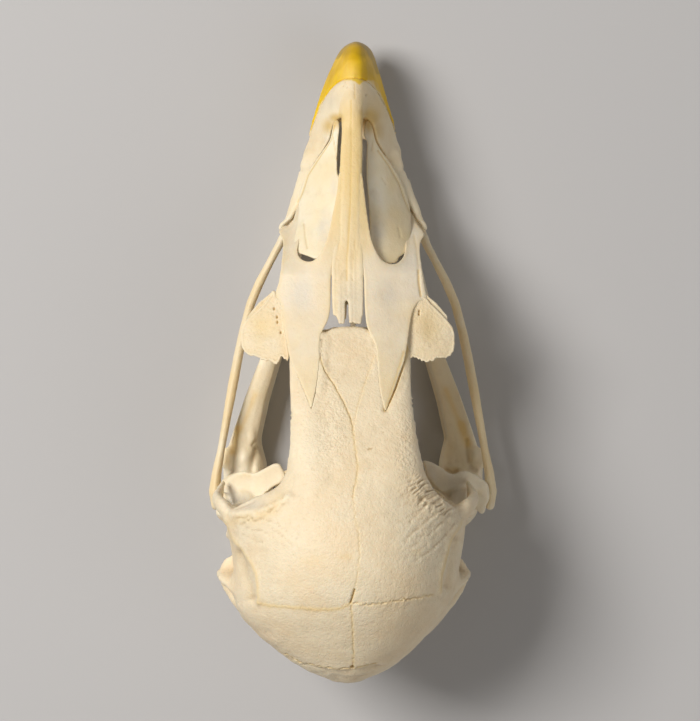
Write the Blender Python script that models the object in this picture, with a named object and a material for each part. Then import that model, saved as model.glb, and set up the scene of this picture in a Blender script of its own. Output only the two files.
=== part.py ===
"""A life-size chicken skull with its lower jaw, resting on the lower jaw.

Every bone is its own object. Sizes in the tables are millimetres, and the meshes are made in metres:
X to the skull's right as seen from above, Y towards the beak tip, Z up from the surface it rests on.
A bone is a union of limbs. A limb is a tube of flattened sections along a smooth path, and each row of its
table gives one section: x, y, z, half width, half thickness, and, where needed, roll in degrees and bow.
Paired bones are written for the skull's right side, and the left one is the mirror image.
"""

import math

import bmesh
import bpy
import numpy as np
from mathutils import Matrix, Vector

MM = 0.001
JOINT_GAP = 0.3  # clearance that neighbouring bones keep
SIDES = {"left": -1, "right": 1}

# The skull is a little lopsided: these groups sit this far to the right of the middle plane.
CONCHA_SHIFT = -0.25
BASE_SHIFT = -0.4
NASAL_SHIFT = -0.5
POSTORBITAL_SHIFT = -0.9
LACRIMAL_SHIFT = -0.65
TEMPLE_SHIFT = -1.1

THINNEST = 0.12  # least half width or half thickness of a limb's section
END_REACH = 0.6  # how far a limb's rounded end stands out, for each millimetre of its half thickness
END_SHARE = 0.62  # size of the section at the very end, beside the one before it
WELD = 0.002  # points closer than this are one
SMOOTH_ANGLE = 40  # edges sharper than this stay crisp, in degrees
BEYOND = 45.0  # further from the middle than any bone

UP = (0, 0, 1)
FORWARD = (0, 1, 0)
OUTWARD = (1, 0, 0)

BONE = {"color": (0.87, 0.8, 0.66), "roughness": 0.55}
THIN_BONE = {"color": (0.88, 0.83, 0.73), "roughness": 0.5}
HORN = {"color": (0.78, 0.55, 0.07), "roughness": 0.25}

# Head solid: y, half width left, half width right, height of the widest level, top, bottom,
# squareness of the upper and of the lower half.
HEAD = [
    (3.7, 3.7, 2.6, 20.6, 23.1, 18.2, 3.0, 2.0),
    (3.0, 7.3, 6.7, 20.2, 23.4, 12.5, 3.4, 2.0),
    (1.0, 7.5, 6.9, 21.0, 24.3, 10.0, 3.4, 2.0),
    (-3.0, 7.6, 7.1, 23.2, 26.3, 9.6, 3.2, 2.0),
    (-7.0, 7.5, 7.4, 25.1, 28.2, 9.4, 3.2, 2.0),
    (-10.5, 7.5, 7.8, 26.5, 29.8, 9.3, 3.0, 2.0),
    (-13.2, 7.8, 8.4, 26.8, 31.0, 9.1, 2.7, 2.0),
    (-15.0, 9.0, 9.6, 25.5, 31.7, 9.0, 2.4, 2.0),
    (-16.3, 12.4, 11.2, 23.2, 32.2, 8.9, 2.1, 2.0),
    (-17.3, 14.9, 12.8, 21.0, 32.5, 8.8, 2.0, 2.0),
    (-19.0, 15.2, 13.4, 19.8, 33.1, 8.7, 2.0, 2.0),
    (-21.5, 14.7, 13.2, 19.2, 33.6, 8.7, 2.05, 2.0),
    (-24.5, 14.2, 12.7, 18.8, 33.6, 8.8, 2.1, 2.0),
    (-27.5, 14.2, 12.2, 18.8, 32.8, 9.2, 2.1, 2.0),
    (-30.3, 13.6, 10.9, 19.2, 31.2, 10.0, 2.0, 2.0),
    (-33.0, 11.0, 8.6, 20.0, 29.0, 11.6, 2.0, 2.0),
    (-35.2, 8.2, 6.3, 20.4, 26.9, 13.4, 2.0, 2.0),
    (-36.9, 5.7, 4.0, 20.6, 24.9, 15.4, 2.0, 2.0),
    (-38.0, 3.1, 1.4, 20.6, 22.9, 17.6, 2.0, 2.0),
    (-38.4, 1.4, 0.3, 20.6, 21.8, 18.9, 2.0, 2.0),
]
HEAD_SIDES = 32

# Orbit: a rounded pocket that deepens from the thin septum outwards.
ORBIT_CENTRE = (-5.8, 17.0)
ORBIT_FRONT, ORBIT_REAR, ORBIT_TOP, ORBIT_BOTTOM = 11.2, 11.4, 8.9, 8.6
ORBIT_SQUARENESS = 2.3
ORBIT_SIDES = 28
ORBIT_SLOPE = 0.4  # rise of the pocket for each millimetre backwards
ORBIT_DEPTHS = [(0.45, 0.66), (0.9, 0.78), (1.8, 0.87), (3.4, 0.94), (6.0, 0.99), (10.0, 1.03), (24.0, 1.1)]

SEPTUM_WINDOW = {"centre": (0, -10.2, 14.8), "radii": (4.0, 2.7, 2.2)}
NERVE_WINDOW = {"centre": (0, -6.5, 21.0), "radii": (2.0, 2.2, 0.9)}
FORAMEN_MAGNUM = {"centre": (-0.6, -35.6, 12.6), "radii": (2.9, 4.4, 2.5)}
FORAMEN_TILT = 38
CONDYLE = {"centre": (-0.6, -33.6, 9.7), "radii": (1.25, 1.5, 1.1)}
EAR = {"centre": (13.4, -22.2, 13.8), "radii": (4.2, 2.9, 3.0)}
TEMPLE_HOLLOW = {"centre": (17.2, -20.2, 17.4), "radii": (3.6, 2.2, 3.2)}

ROSTRUM = [(0, -18.0, 10.4, 1.7, 1.4), (0, -12.0, 10.0, 1.1, 1.0), (0, -5.0, 10.3, 0.85, 0.9), (0, 1.6, 11.2, 0.5, 0.8)]
POSTORBITAL = [
    (14.1, -17.8, 22.0, 1.3, 0.8),
    (14.95, -17.2, 19.5, 1.15, 0.7),
    (15.3, -16.7, 16.8, 0.9, 0.6),
    (15.1, -15.9, 14.2, 0.6, 0.45),
    (14.7, -15.0, 12.3, 0.3, 0.3),
]
ZYGOMATIC = [
    (13.6, -20.6, 18.0, 1.3, 0.9),
    (14.9, -18.9, 16.0, 0.9, 0.6),
    (15.1, -17.2, 14.4, 0.6, 0.45),
    (14.9, -15.9, 13.4, 0.4, 0.4),
]
NUCHAL_LEDGE = [
    (12.9, -23.2, 16.4, 0.7, 0.45, -20),
    (13.4, -24.4, 16.2, 1.1, 0.5, -20),
    (13.5, -25.6, 16.2, 1.7, 0.55, -22),
    (13.0, -27.3, 16.6, 1.6, 0.6, -25),
    (12.2, -29.2, 17.2, 1.35, 0.65, -28),
    (11.2, -30.8, 17.9, 1.1, 0.6, -30),
    (9.9, -32.4, 18.6, 0.75, 0.5, -32),
    (8.6, -33.7, 19.1, 0.3, 0.3, -32),
]
EAR_WING = [
    (11.2, -28.2, 22.0, 1.4, 0.7),
    (12.6, -26.8, 18.8, 2.0, 0.7),
    (13.1, -25.7, 15.6, 2.3, 0.6),
    (12.3, -25.9, 12.6, 2.2, 0.55),
    (10.4, -27.0, 9.8, 1.5, 0.5),
    (8.6, -28.2, 8.4, 0.8, 0.5),
]
BASE_PLATE = [(0, -18.5, 9.6, 3.4, 0.9), (0, -23.0, 8.9, 5.6, 0.9), (0, -28.0, 9.2, 5.0, 0.9), (0, -31.5, 9.9, 2.6, 0.8)]

# Upper bill: y, x of the middle, half width, top, cutting edge, hollow of the palate, and fullness,
# where 1 is a plain roof with straight sides and 2 is a round vault.
BILL = [
    (38.4, 0.4, 0.7, 7.6, 4.9, 0.1, 2.4),
    (38.0, 0.4, 1.4, 9.3, 5.0, 0.2, 2.4),
    (37.2, 0.35, 2.05, 10.8, 5.3, 0.4, 2.4),
    (35.9, 0.25, 2.6, 12.1, 5.8, 0.9, 2.3),
    (33.8, 0.1, 3.4, 13.6, 6.5, 1.3, 2.1),
    (31.3, 0.0, 4.2, 14.9, 7.0, 1.5, 1.8),
    (28.9, 0.0, 4.98, 15.9, 7.3, 1.5, 1.5),
    (26.4, -0.05, 5.55, 16.5, 7.5, 1.4, 1.25),
    (24.0, -0.05, 6.34, 17.0, 7.6, 1.2, 1.1),
    (22.2, -0.05, 7.0, 17.4, 7.7, 1.1, 1.0),
]
BILL_WALL = 0.55
BILL_SIDES = 13
HOLLOW_SHARE = 0.4  # the trough is at least this share of the half width

# The nostrils are one opening seen from above, and the splints of the bridge are laid across it afterwards.
NOSTRIL_EDGE = [(1.3, 28.9), (2.2, 28.2), (2.8, 26.3), (4.1, 24.1), (5.2, 22.2), (6.4, 20.0)]
NOSTRIL_FLOOR = 10.2

SPLINT = [
    (0.62, 30.4, 13.9, 0.68, 0.7),
    (0.66, 28.2, 15.1, 0.68, 0.7),
    (0.66, 25.6, 15.95, 0.68, 0.7),
    (0.66, 20.0, 17.8, 0.68, 0.7),
    (0.72, 15.5, 19.2, 0.8, 0.6),
    (0.9, 11.5, 20.35, 0.92, 0.45),
    (0.95, 8.0, 21.35, 0.86, 0.4),
    (0.95, 4.7, 22.3, 0.74, 0.35),
]
SPLINT_DRIFT = [(30.0, 0.0), (26.0, -0.2), (20.0, -0.3), (15.0, -0.45), (10.0, -0.65), (4.0, -0.75)]
BILL_SIDE_BAR = [
    (4.75, 24.6, 9.6, 1.5, 0.45, -50),
    (5.85, 22.6, 9.3, 1.25, 0.42, -50),
    (6.7, 20.8, 9.2, 1.1, 0.4, -48),
    (7.55, 19.0, 9.0, 0.85, 0.38, -46),
    (8.35, 16.9, 8.9, 0.5, 0.35, -45),
    (8.8, 15.6, 8.8, 0.25, 0.28, -45),
]
PALATE_BAR = [(2.6, 29.5, 8.6, 1.2, 0.4), (3.3, 25.0, 8.4, 1.1, 0.4), (3.6, 21.5, 8.2, 0.8, 0.35)]

# Boundary of the horny bill tip, seen from above: it is nearest the tip in the middle and runs back along the edges.
HORN_EDGE_MIDDLE = 33.9
HORN_EDGE_HALF_WIDTH = 5.1
HORN_EDGE_REACH = 6.2
HORN_EDGE_POWER = 2.6
HORN_EDGE_STEPS = 12
HORN_EDGE_SPREAD = 1.25  # the edge is drawn this many half widths out, past the bill's sides

NASAL_PLATE = [
    (5.3, 12.0, 19.9, 2.9, 0.42, -12, 0.55),
    (5.25, 9.4, 20.6, 3.2, 0.45, -12, 0.6),
    (5.05, 6.8, 21.4, 3.05, 0.45, -11, 0.5),
    (4.95, 4.6, 22.2, 2.65, 0.45, -10, 0.4),
    (5.2, 2.9, 22.95, 2.2, 0.42, -9, 0.3),
    (5.35, 1.4, 23.7, 1.85, 0.4, -8, 0.2),
    (5.35, -0.6, 24.75, 1.75, 0.38, -8, 0.1),
    (5.05, -2.8, 25.85, 1.4, 0.35, -8, 0),
    (4.65, -4.5, 26.75, 0.85, 0.32, -7, 0),
    (4.4, -5.9, 27.5, 0.25, 0.28, -6, 0),
]
NASAL_MIDDLE_BAR = [
    (3.1, 11.0, 20.3, 0.95, 0.42, 6),
    (2.6, 13.6, 19.7, 0.6, 0.4, 10),
    (2.2, 16.4, 18.8, 0.42, 0.38, 14),
    (1.75, 19.6, 17.9, 0.28, 0.35, 14),
    (1.55, 21.8, 17.2, 0.18, 0.3, 14),
]
NASAL_SIDE_BAR = [
    (6.9, 10.6, 19.6, 1.3, 0.45, 0),
    (7.15, 12.6, 17.7, 1.2, 0.45, 0),
    (7.45, 14.3, 15.0, 1.05, 0.42, 0),
    (7.65, 15.6, 12.3, 0.95, 0.4, 0),
    (7.6, 17.2, 10.5, 0.75, 0.38, 0),
    (6.9, 19.6, 9.95, 0.45, 0.32, 0),
]
CONCHA = [
    (2.6, 26.0, 13.0, 0.5, 0.28, -52, 0),
    (2.95, 24.0, 13.1, 1.75, 0.3, -52, 0.3),
    (3.5, 21.5, 13.5, 2.55, 0.3, -48, 0.6),
    (3.95, 18.5, 14.3, 2.8, 0.3, -42, 0.8),
    (4.4, 15.5, 15.6, 2.9, 0.3, -37, 0.8),
    (4.8, 13.4, 16.8, 2.4, 0.3, -33, 0.6),
    (4.85, 12.2, 17.5, 1.0, 0.28, -30, 0.3),
]

LACRIMAL_WING = [
    (8.95, 7.5, 20.1, 0.3, 0.3, -10, 0),
    (9.35, 6.2, 20.3, 1.25, 0.35, -12, 0.1),
    (9.9, 4.7, 20.7, 2.05, 0.38, -12, 0.2),
    (10.2, 2.9, 21.2, 2.45, 0.4, -12, 0.25),
    (10.2, 1.2, 21.8, 2.45, 0.4, -12, 0.25),
    (10.0, 0.1, 22.2, 2.2, 0.38, -12, 0.2),
]
LACRIMAL_STALK = [
    (9.2, 4.6, 20.4, 1.1, 0.5),
    (9.5, 5.2, 18.0, 0.7, 0.4),
    (10.0, 5.4, 15.0, 0.5, 0.38),
    (10.4, 4.9, 12.4, 0.55, 0.35),
    (10.6, 4.2, 10.6, 0.3, 0.3),
]

JUGAL = [
    (6.5, 21.5, 8.0, 0.45, 0.55),
    (7.2, 19.0, 8.05, 0.55, 0.7),
    (8.2, 15.6, 8.3, 0.7, 0.85),
    (8.95, 13.7, 8.5, 0.55, 0.85),
    (10.0, 11.7, 8.5, 0.5, 0.8),
    (11.3, 9.2, 8.4, 0.6, 0.75),
    (12.4, 6.6, 8.2, 0.6, 0.75),
    (13.3, 3.2, 8.0, 0.6, 0.75),
    (14.0, -0.2, 7.9, 0.65, 0.75),
    (14.7, -3.9, 7.9, 0.65, 0.7),
    (15.4, -7.8, 8.0, 0.55, 0.75),
    (16.0, -11.2, 8.2, 0.5, 0.8),
    (16.5, -13.8, 8.5, 0.65, 0.95),
    (16.75, -16.2, 8.7, 0.8, 1.2),
    (16.6, -18.0, 8.7, 0.6, 0.9),
]
MAXILLA_SHELF = [(8.0, 16.6, 8.3, 1.5, 0.35), (6.4, 16.2, 8.6, 1.6, 0.3), (4.9, 15.4, 8.9, 0.9, 0.3)]

QUADRATE_COLUMN = [
    (11.9, -19.9, 16.6, 1.3, 1.1),
    (12.4, -18.4, 14.0, 1.2, 1.1),
    (13.0, -16.9, 11.2, 1.6, 1.5),
    (13.3, -16.2, 9.0, 2.4, 1.7),
    (13.3, -16.0, 7.6, 2.3, 1.3),
]
QUADRATE_SADDLE = [
    (15.4, -15.5, 9.9, 1.0, 0.8),
    (14.0, -15.4, 10.7, 1.75, 1.0),
    (12.5, -15.6, 11.4, 1.75, 0.9),
    (11.0, -15.0, 12.4, 1.35, 0.65),
    (9.6, -14.2, 13.3, 1.15, 0.45),
    (8.75, -13.85, 13.6, 0.9, 0.4),
]
QUADRATE_SIDE_KNOB = [(14.2, -16.6, 8.8, 1.2, 1.0), (15.3, -16.8, 8.7, 0.9, 0.9)]
QUADRATE_INNER_KNOB = [(12.6, -15.8, 7.9, 1.0, 0.9), (10.6, -15.3, 7.7, 0.8, 0.8)]

PTERYGOID = [
    (9.4, -15.0, 8.0, 0.75, 0.7),
    (6.8, -13.6, 8.2, 0.6, 0.6),
    (4.2, -12.0, 8.3, 0.7, 0.6),
    (2.0, -9.5, 8.3, 0.85, 0.55),
]
PALATINE = [
    (3.55, 20.75, 8.1, 0.5, 0.3),
    (3.9, 15.0, 7.9, 0.65, 0.3),
    (4.1, 9.0, 7.8, 0.8, 0.32),
    (3.9, 3.5, 7.8, 0.95, 0.35),
    (3.3, -1.5, 7.9, 1.25, 0.4),
    (2.5, -5.5, 8.1, 1.2, 0.45),
    (1.8, -8.6, 8.3, 0.75, 0.45),
]
VOMER = [(0, 9.5, 8.5, 0.28, 0.3), (0, 4.0, 8.75, 0.34, 0.4), (0, -3.2, 8.9, 0.4, 0.35)]

# Lower jaw: one ramus, its joint block and its two processes.
RAMUS = [
    (0.5, 35.6, 4.3, 1.0, 0.9, 0),
    (2.0, 33.0, 3.9, 0.95, 1.7, -12),
    (3.2, 29.6, 3.7, 0.85, 2.0, -14),
    (4.6, 24.6, 3.3, 0.75, 2.2, -12),
    (6.0, 18.4, 2.7, 0.75, 2.6, -8),
    (7.4, 11.6, 2.5, 0.8, 2.9, -6),
    (8.7, 5.6, 2.8, 0.9, 3.1, -8),
    (10.0, 0.0, 3.1, 1.0, 3.1, -12),
    (11.7, -5.0, 3.2, 1.15, 3.1, -16),
    (13.0, -9.6, 2.9, 1.5, 3.1, -18),
    (13.2, -13.0, 2.8, 2.7, 3.2, -8),
    (13.2, -16.4, 3.0, 2.7, 3.8, 0),
    (13.0, -18.8, 2.7, 2.3, 2.9, 0),
]
INNER_PROCESS = [(12.4, -16.6, 4.6, 1.6, 1.3), (9.8, -17.0, 5.1, 1.1, 0.9), (7.4, -17.6, 6.3, 0.55, 0.5)]
SIDE_PROCESS = [(13.6, -12.3, 4.9, 1.9, 1.0), (15.6, -12.3, 5.3, 1.5, 0.7), (16.2, -12.3, 5.4, 0.9, 0.5)]
REAR_PROCESS = [
    (13.0, -17.8, 2.4, 1.4, 2.6),
    (12.8, -20.8, 2.2, 0.95, 2.5),
    (12.6, -22.6, 2.6, 0.8, 2.4),
    (12.4, -24.6, 4.2, 0.6, 1.7),
    (12.2, -26.2, 6.4, 0.45, 1.1),
]
CHIN = [
    (35.9, 0.2, 1.5, 5.3, 2.7, 0.2, 2.0),
    (34.4, 0.1, 2.2, 5.7, 2.3, 0.5, 2.0),
    (31.6, 0.0, 3.1, 6.0, 1.8, 1.2, 2.0),
    (29.0, 0.0, 3.8, 6.1, 1.5, 2.3, 2.0),
]
CHIN_WALL = 0.9
CHIN_SIDES = 11

# The jaw's lower edges are cut level where it rests, and rise off the surface between the two ends.
INSTEP = {"centre": (0, -2.0, -0.3), "radii": (30.0, 8.5, 0.9)}


def smooth_rows(rows, steps):
    """Rows of numbers with steps - 1 more between each two, on a smooth curve through them all."""
    rows = np.array(rows, float)
    along = np.concatenate([[0], np.cumsum(np.linalg.norm(np.diff(rows[:, :3], axis=0), axis=1))])
    slopes = np.gradient(rows, along, axis=0)
    found = []
    for i in range(len(rows) - 1):
        span = along[i + 1] - along[i]
        for step in range(steps):
            t = step / steps
            found.append(
                rows[i] * (1 + 2 * t) * (1 - t) ** 2
                + slopes[i] * span * t * (1 - t) ** 2
                + rows[i + 1] * t * t * (3 - 2 * t)
                + slopes[i + 1] * span * t * t * (t - 1)
            )
    return np.array([*found, rows[-1]])


def round_point(angle, power):
    """A point of a unit superellipse: power 2 is a circle, and more is squarer."""
    c, s = math.cos(angle), math.sin(angle)
    return math.copysign(abs(c) ** (2 / power), c), math.copysign(abs(s) ** (2 / power), s)


def skin_rings(name, rings):
    """A closed mesh object through rings of equal length, given in millimetres."""
    mesh = bpy.data.meshes.new(name)
    shell = bmesh.new()
    made = [[shell.verts.new(Vector(point) * MM) for point in ring] for ring in rings]
    for ring, following in zip(made, made[1:]):
        for i in range(len(ring)):
            j = (i + 1) % len(ring)
            shell.faces.new((ring[i], ring[j], following[j], following[i]))
    shell.faces.new(reversed(made[0]))
    shell.faces.new(made[-1])
    bmesh.ops.triangulate(shell, faces=[f for f in shell.faces if len(f.verts) > 4])
    bmesh.ops.recalc_face_normals(shell, faces=shell.faces)
    shell.to_mesh(mesh)
    shell.free()
    made_object = bpy.data.objects.new(name, mesh)
    bpy.context.scene.collection.objects.link(made_object)
    return made_object


def limb(rows, facing=UP, sides=8, steps=1, power=2.3, side=1, shift=0.0, grow=0.0):
    """A tube of flattened sections along a smooth path, with rounded ends. Its thickness is measured along facing."""
    rows = smooth_rows([tuple(row) + (0,) * (7 - len(row)) for row in rows], steps)
    rows[:, 3:5] = np.maximum(rows[:, 3:5], THINNEST) + grow
    rows[:, 0] = rows[:, 0] * side + shift
    rows[:, 5] *= side
    heading = np.gradient(rows[:, :3], axis=0)
    first, last = rows[0].copy(), rows[-1].copy()
    for end, direction in ((first, -heading[0]), (last, heading[-1])):
        reach = END_REACH * min(end[3], end[4]) + grow
        end[:3] += direction / np.linalg.norm(direction) * reach
        end[3:5] *= END_SHARE
    rows = np.vstack([first, rows, last])
    heading = np.vstack([heading[:1], heading, heading[-1:]])
    face = Vector((facing[0] * side, facing[1], facing[2]))
    rings = []
    for row, tangent in zip(rows, heading):
        centre, tangent = Vector(row[:3]), Vector(tangent).normalized()
        across = tangent.cross(face).normalized()
        away = across.cross(tangent)
        turn = Matrix.Rotation(math.radians(row[5]), 3, tangent)
        across, away = turn @ across, turn @ away
        ring = []
        for i in range(sides):
            u, v = round_point(2 * math.pi * (i + 0.5) / sides, power)
            ring.append(centre + across * (u * row[3]) + away * (v * row[4] - row[6] * u * u))
        rings.append(ring)
    return skin_rings("limb", rings)


def ball(centre, radii, side=1, shift=0.0, tilt=0, grow=0.0, segments=12, turns=7):
    """An ellipsoid, tipped nose down by tilt degrees."""
    bm = bmesh.new()
    bmesh.ops.create_uvsphere(bm, u_segments=segments, v_segments=turns, radius=1)
    size = Matrix.Diagonal([(r + grow) * MM for r in radii] + [1])
    place = Matrix.Translation(Vector((centre[0] * side + shift, centre[1], centre[2])) * MM)
    bm.transform(place @ Matrix.Rotation(math.radians(tilt), 4, "X") @ size)
    mesh = bpy.data.meshes.new("ball")
    bm.to_mesh(mesh)
    bm.free()
    made = bpy.data.objects.new("ball", mesh)
    bpy.context.scene.collection.objects.link(made)
    return made


def head_solid():
    rings = []
    for y, left, right, level, top, bottom, upper, lower in smooth_head_rows():
        ring = []
        for i in range(HEAD_SIDES):
            angle = 2 * math.pi * (i + 0.5) / HEAD_SIDES
            u, v = round_point(angle, upper if math.sin(angle) > 0 else lower)
            width = right if u > 0 else left
            height = top - level if v > 0 else level - bottom
            ring.append((u * width, y, level + v * height))
        rings.append(ring)
    return skin_rings("head", rings)


def smooth_head_rows():
    """The head's rows, eased between sections along y only."""
    rows = [(0, row[0], 0) + row for row in HEAD]
    return smooth_rows(rows, 1)[:, 3:]


def orbit(side):
    rings = []
    for depth, share in ORBIT_DEPTHS:
        ring = []
        for i in range(ORBIT_SIDES):
            u, v = round_point(2 * math.pi * i / ORBIT_SIDES, ORBIT_SQUARENESS)
            dy = u * share * (ORBIT_FRONT if u > 0 else ORBIT_REAR)
            dz = v * share * (ORBIT_TOP if v > 0 else ORBIT_BOTTOM)
            ring.append((side * depth, ORBIT_CENTRE[0] + dy, ORBIT_CENTRE[1] + dz - ORBIT_SLOPE * dy))
        rings.append(ring)
    return skin_rings("orbit", rings)


def vault(rows, wall, sides, upwards=True):
    """A trough-shaped bill, from rows like those of BILL. Its cutting edges are wall thick."""
    rings = []
    path = smooth_rows([(row[1], row[0], 0) + tuple(row) for row in rows], 2)[:, 3:]
    for y, middle, half, top, edge, hollow, fullness in path:
        rim, crown = (edge, top) if upwards else (top, edge)
        outer, inner = [], []
        for i in range(sides):
            u = math.cos(math.pi * i / (sides - 1))
            outer.append((middle + half * u, y, rim + (crown - rim) * (1 - abs(u) ** fullness)))
            depth = math.copysign(hollow, crown - rim)
            inner.append((middle + max(half - wall, half * HOLLOW_SHARE) * u, y, rim + depth * (1 - u * u)))
        rings.append(outer + inner[::-1])
    return skin_rings("vault", rings)


def nostril_opening():
    """Everything above the floor of the nostrils and between their edges."""
    edge = [tuple(row[:2]) for row in smooth_rows([(x, y, 0) for x, y in NOSTRIL_EDGE], 3)]
    outline = edge + [(-x, y) for x, y in reversed(edge)]
    return skin_rings("nostrils", [[(x, y, z) for x, y in outline] for z in (NOSTRIL_FLOOR, BEYOND)])


def boolean(target, tools, operation):
    """Joins tools to target, or cuts them out of it, and removes the tools."""
    group = bpy.data.collections.new("tools")
    bpy.context.scene.collection.children.link(group)
    for tool in tools:
        bpy.context.scene.collection.objects.unlink(tool)
        group.objects.link(tool)
    modifier = target.modifiers.new(operation.lower(), "BOOLEAN")
    modifier.operation = operation
    modifier.solver = "MANIFOLD"  # EXACT leaves open edges where the thin bars cross
    modifier.operand_type = "COLLECTION"
    modifier.collection = group
    bpy.context.view_layer.update()
    result = bpy.data.meshes.new_from_object(target.evaluated_get(bpy.context.evaluated_depsgraph_get()))
    target.modifiers.clear()
    target.data = result
    for tool in tools:
        bpy.data.objects.remove(tool)
    bpy.data.collections.remove(group)


def keep_largest(target):
    """Drops loose scraps: only the largest closed surface stays."""
    bm = bmesh.new()
    bm.from_mesh(target.data)
    bmesh.ops.remove_doubles(bm, verts=bm.verts, dist=WELD * MM)
    left, islands = set(bm.faces), []
    while left:
        island, edge = set(), [left.pop()]
        while edge:
            face = edge.pop()
            island.add(face)
            near = {f for e in face.edges if len(e.link_faces) == 2 for f in e.link_faces if f in left}
            left -= near
            edge += near
        islands.append(island)
    islands.sort(key=lambda island: sum(f.calc_area() for f in island))
    scraps = [f for island in islands[:-1] for f in island]
    bmesh.ops.delete(bm, geom=scraps, context="FACES")
    bm.to_mesh(target.data)
    bm.free()


def fuse(name, pieces, finish):
    """One closed bone from overlapping pieces."""
    first = pieces[0]
    if pieces[1:]:
        boolean(first, pieces[1:], "UNION")
    first.name = first.data.name = name
    material = bpy.data.materials.new(name)
    material.use_nodes = True
    shader = material.node_tree.nodes["Principled BSDF"]
    shader.inputs["Base Color"].default_value = (*finish["color"], 1)
    shader.inputs["Roughness"].default_value = finish["roughness"]
    first.data.materials.clear()
    first.data.materials.append(material)
    return first


def splint_rows(side):
    """The splint on one side of the middle, which drifts to the left backwards."""
    drift_y, drift_x = zip(*sorted(SPLINT_DRIFT))
    return [(x * side + float(np.interp(y, drift_y, drift_x)), y, z, w, h) for x, y, z, w, h in SPLINT]


def splints(grow=0.0):
    return [limb(splint_rows(side), grow=grow, power=2.6) for side in SIDES.values()]


def bill_side_bar(side, grow=0.0):
    return limb(BILL_SIDE_BAR, side=side, grow=grow)


def nasal_limbs(side, grow=0.0):
    shared = {"side": side, "shift": NASAL_SHIFT, "grow": grow}
    return [
        limb(NASAL_PLATE, sides=12, power=2.8, **shared),
        limb(NASAL_MIDDLE_BAR, **shared),
        limb(NASAL_SIDE_BAR, facing=(1, 0.3, 0.9), **shared),
    ]


def lacrimal_limbs(side, grow=0.0):
    shared = {"side": side, "shift": LACRIMAL_SHIFT, "grow": grow}
    return [
        limb(LACRIMAL_WING, sides=12, power=2.6, **shared),
        limb(LACRIMAL_STALK, facing=FORWARD, **shared),
    ]


def quadrate_limbs(side, grow=0.0):
    shared = {"side": side, "grow": grow}
    return [
        limb(QUADRATE_COLUMN, facing=FORWARD, sides=10, steps=2, **shared),
        limb(QUADRATE_SADDLE, steps=2, **shared),
        limb(QUADRATE_SIDE_KNOB, **shared),
        limb(QUADRATE_INNER_KNOB, **shared),
    ]


def jugal_limbs(side, grow=0.0):
    return [limb(JUGAL, side=side, grow=grow, sides=6, power=2), limb(MAXILLA_SHELF, side=side, grow=grow)]


def concha_limbs(side, grow=0.0):
    return [limb(CONCHA, side=side, shift=CONCHA_SHIFT, grow=grow, sides=10)]


def horn_prism(back):
    """Everything in front of the horn's edge, moved back by a distance."""
    edge = []
    for i in range(-HORN_EDGE_STEPS, HORN_EDGE_STEPS + 1):
        u = HORN_EDGE_SPREAD * i / HORN_EDGE_STEPS
        reach = HORN_EDGE_REACH * abs(u) ** HORN_EDGE_POWER
        edge.append((u * HORN_EDGE_HALF_WIDTH, HORN_EDGE_MIDDLE - back - reach))
    outline = [*edge, (BEYOND, BEYOND), (-BEYOND, BEYOND)]
    return skin_rings("prism", [[(x, y, z) for x, y in outline] for z in (-BEYOND, BEYOND)])


def parted(source, back):
    """Copies of an object in front of and behind the horn's edge."""
    tip, rest = source, source.copy()
    rest.data = source.data.copy()
    bpy.context.scene.collection.objects.link(rest)
    boolean(tip, [horn_prism(0)], "INTERSECT")
    boolean(rest, [horn_prism(back)], "DIFFERENCE")
    return tip, rest


def make_cranium():
    pieces = [head_solid()]
    boolean(pieces[0], [orbit(side) for side in SIDES.values()], "DIFFERENCE")
    for side in SIDES.values():
        in_front = {"side": side, "shift": POSTORBITAL_SHIFT, "facing": OUTWARD}
        behind = {"side": side, "shift": TEMPLE_SHIFT, "steps": 2}
        pieces += [
            limb(POSTORBITAL, **in_front),
            limb(ZYGOMATIC, **in_front),
            limb(EAR_WING, facing=FORWARD, **behind),
            limb(NUCHAL_LEDGE, **behind),
        ]
    pieces += [
        limb(ROSTRUM),
        limb(BASE_PLATE, sides=12, shift=BASE_SHIFT),
        ball(**CONDYLE),
    ]
    cranium = fuse("cranium", pieces, BONE)
    cuts = [ball(**SEPTUM_WINDOW), ball(**NERVE_WINDOW), ball(**FORAMEN_MAGNUM, tilt=FORAMEN_TILT)]
    for side in SIDES.values():
        cuts += [ball(**EAR, side=side, shift=TEMPLE_SHIFT), ball(**TEMPLE_HOLLOW, side=side, shift=TEMPLE_SHIFT)]
    boolean(cranium, cuts, "DIFFERENCE")
    return cranium


def make_bill():
    roof = vault(BILL, BILL_WALL, BILL_SIDES)
    boolean(roof, [nostril_opening()], "DIFFERENCE")
    bars = [bill_side_bar(side) for side in SIDES.values()]
    palate = [limb(PALATE_BAR, side=side) for side in SIDES.values()]
    whole = fuse("beak_sheath", [roof, *bars, *palate, *splints()], HORN)
    sheath, bone = parted(whole, JOINT_GAP)
    premaxilla = fuse("premaxilla", [bone], BONE)
    return sheath, premaxilla


def make_jaw():
    pieces = [vault(CHIN, CHIN_WALL, CHIN_SIDES, upwards=False)]
    for side in SIDES.values():
        pieces += [
            limb(RAMUS, side=side, sides=10, power=2.6),
            limb(INNER_PROCESS, side=side),
            limb(SIDE_PROCESS, side=side),
            limb(REAR_PROCESS, side=side),
        ]
    jaw = fuse("mandible_sheath", pieces, HORN)
    corners = [(-BEYOND, -BEYOND), (BEYOND, -BEYOND), (BEYOND, BEYOND), (-BEYOND, BEYOND)]
    table = skin_rings("table", [[(x, y, z) for x, y in corners] for z in (-BEYOND, 0.0)])
    boolean(jaw, [table, ball(**INSTEP)], "DIFFERENCE")
    sheath, bone = parted(jaw, JOINT_GAP)
    return sheath, fuse("mandible", [bone], BONE)


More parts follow.
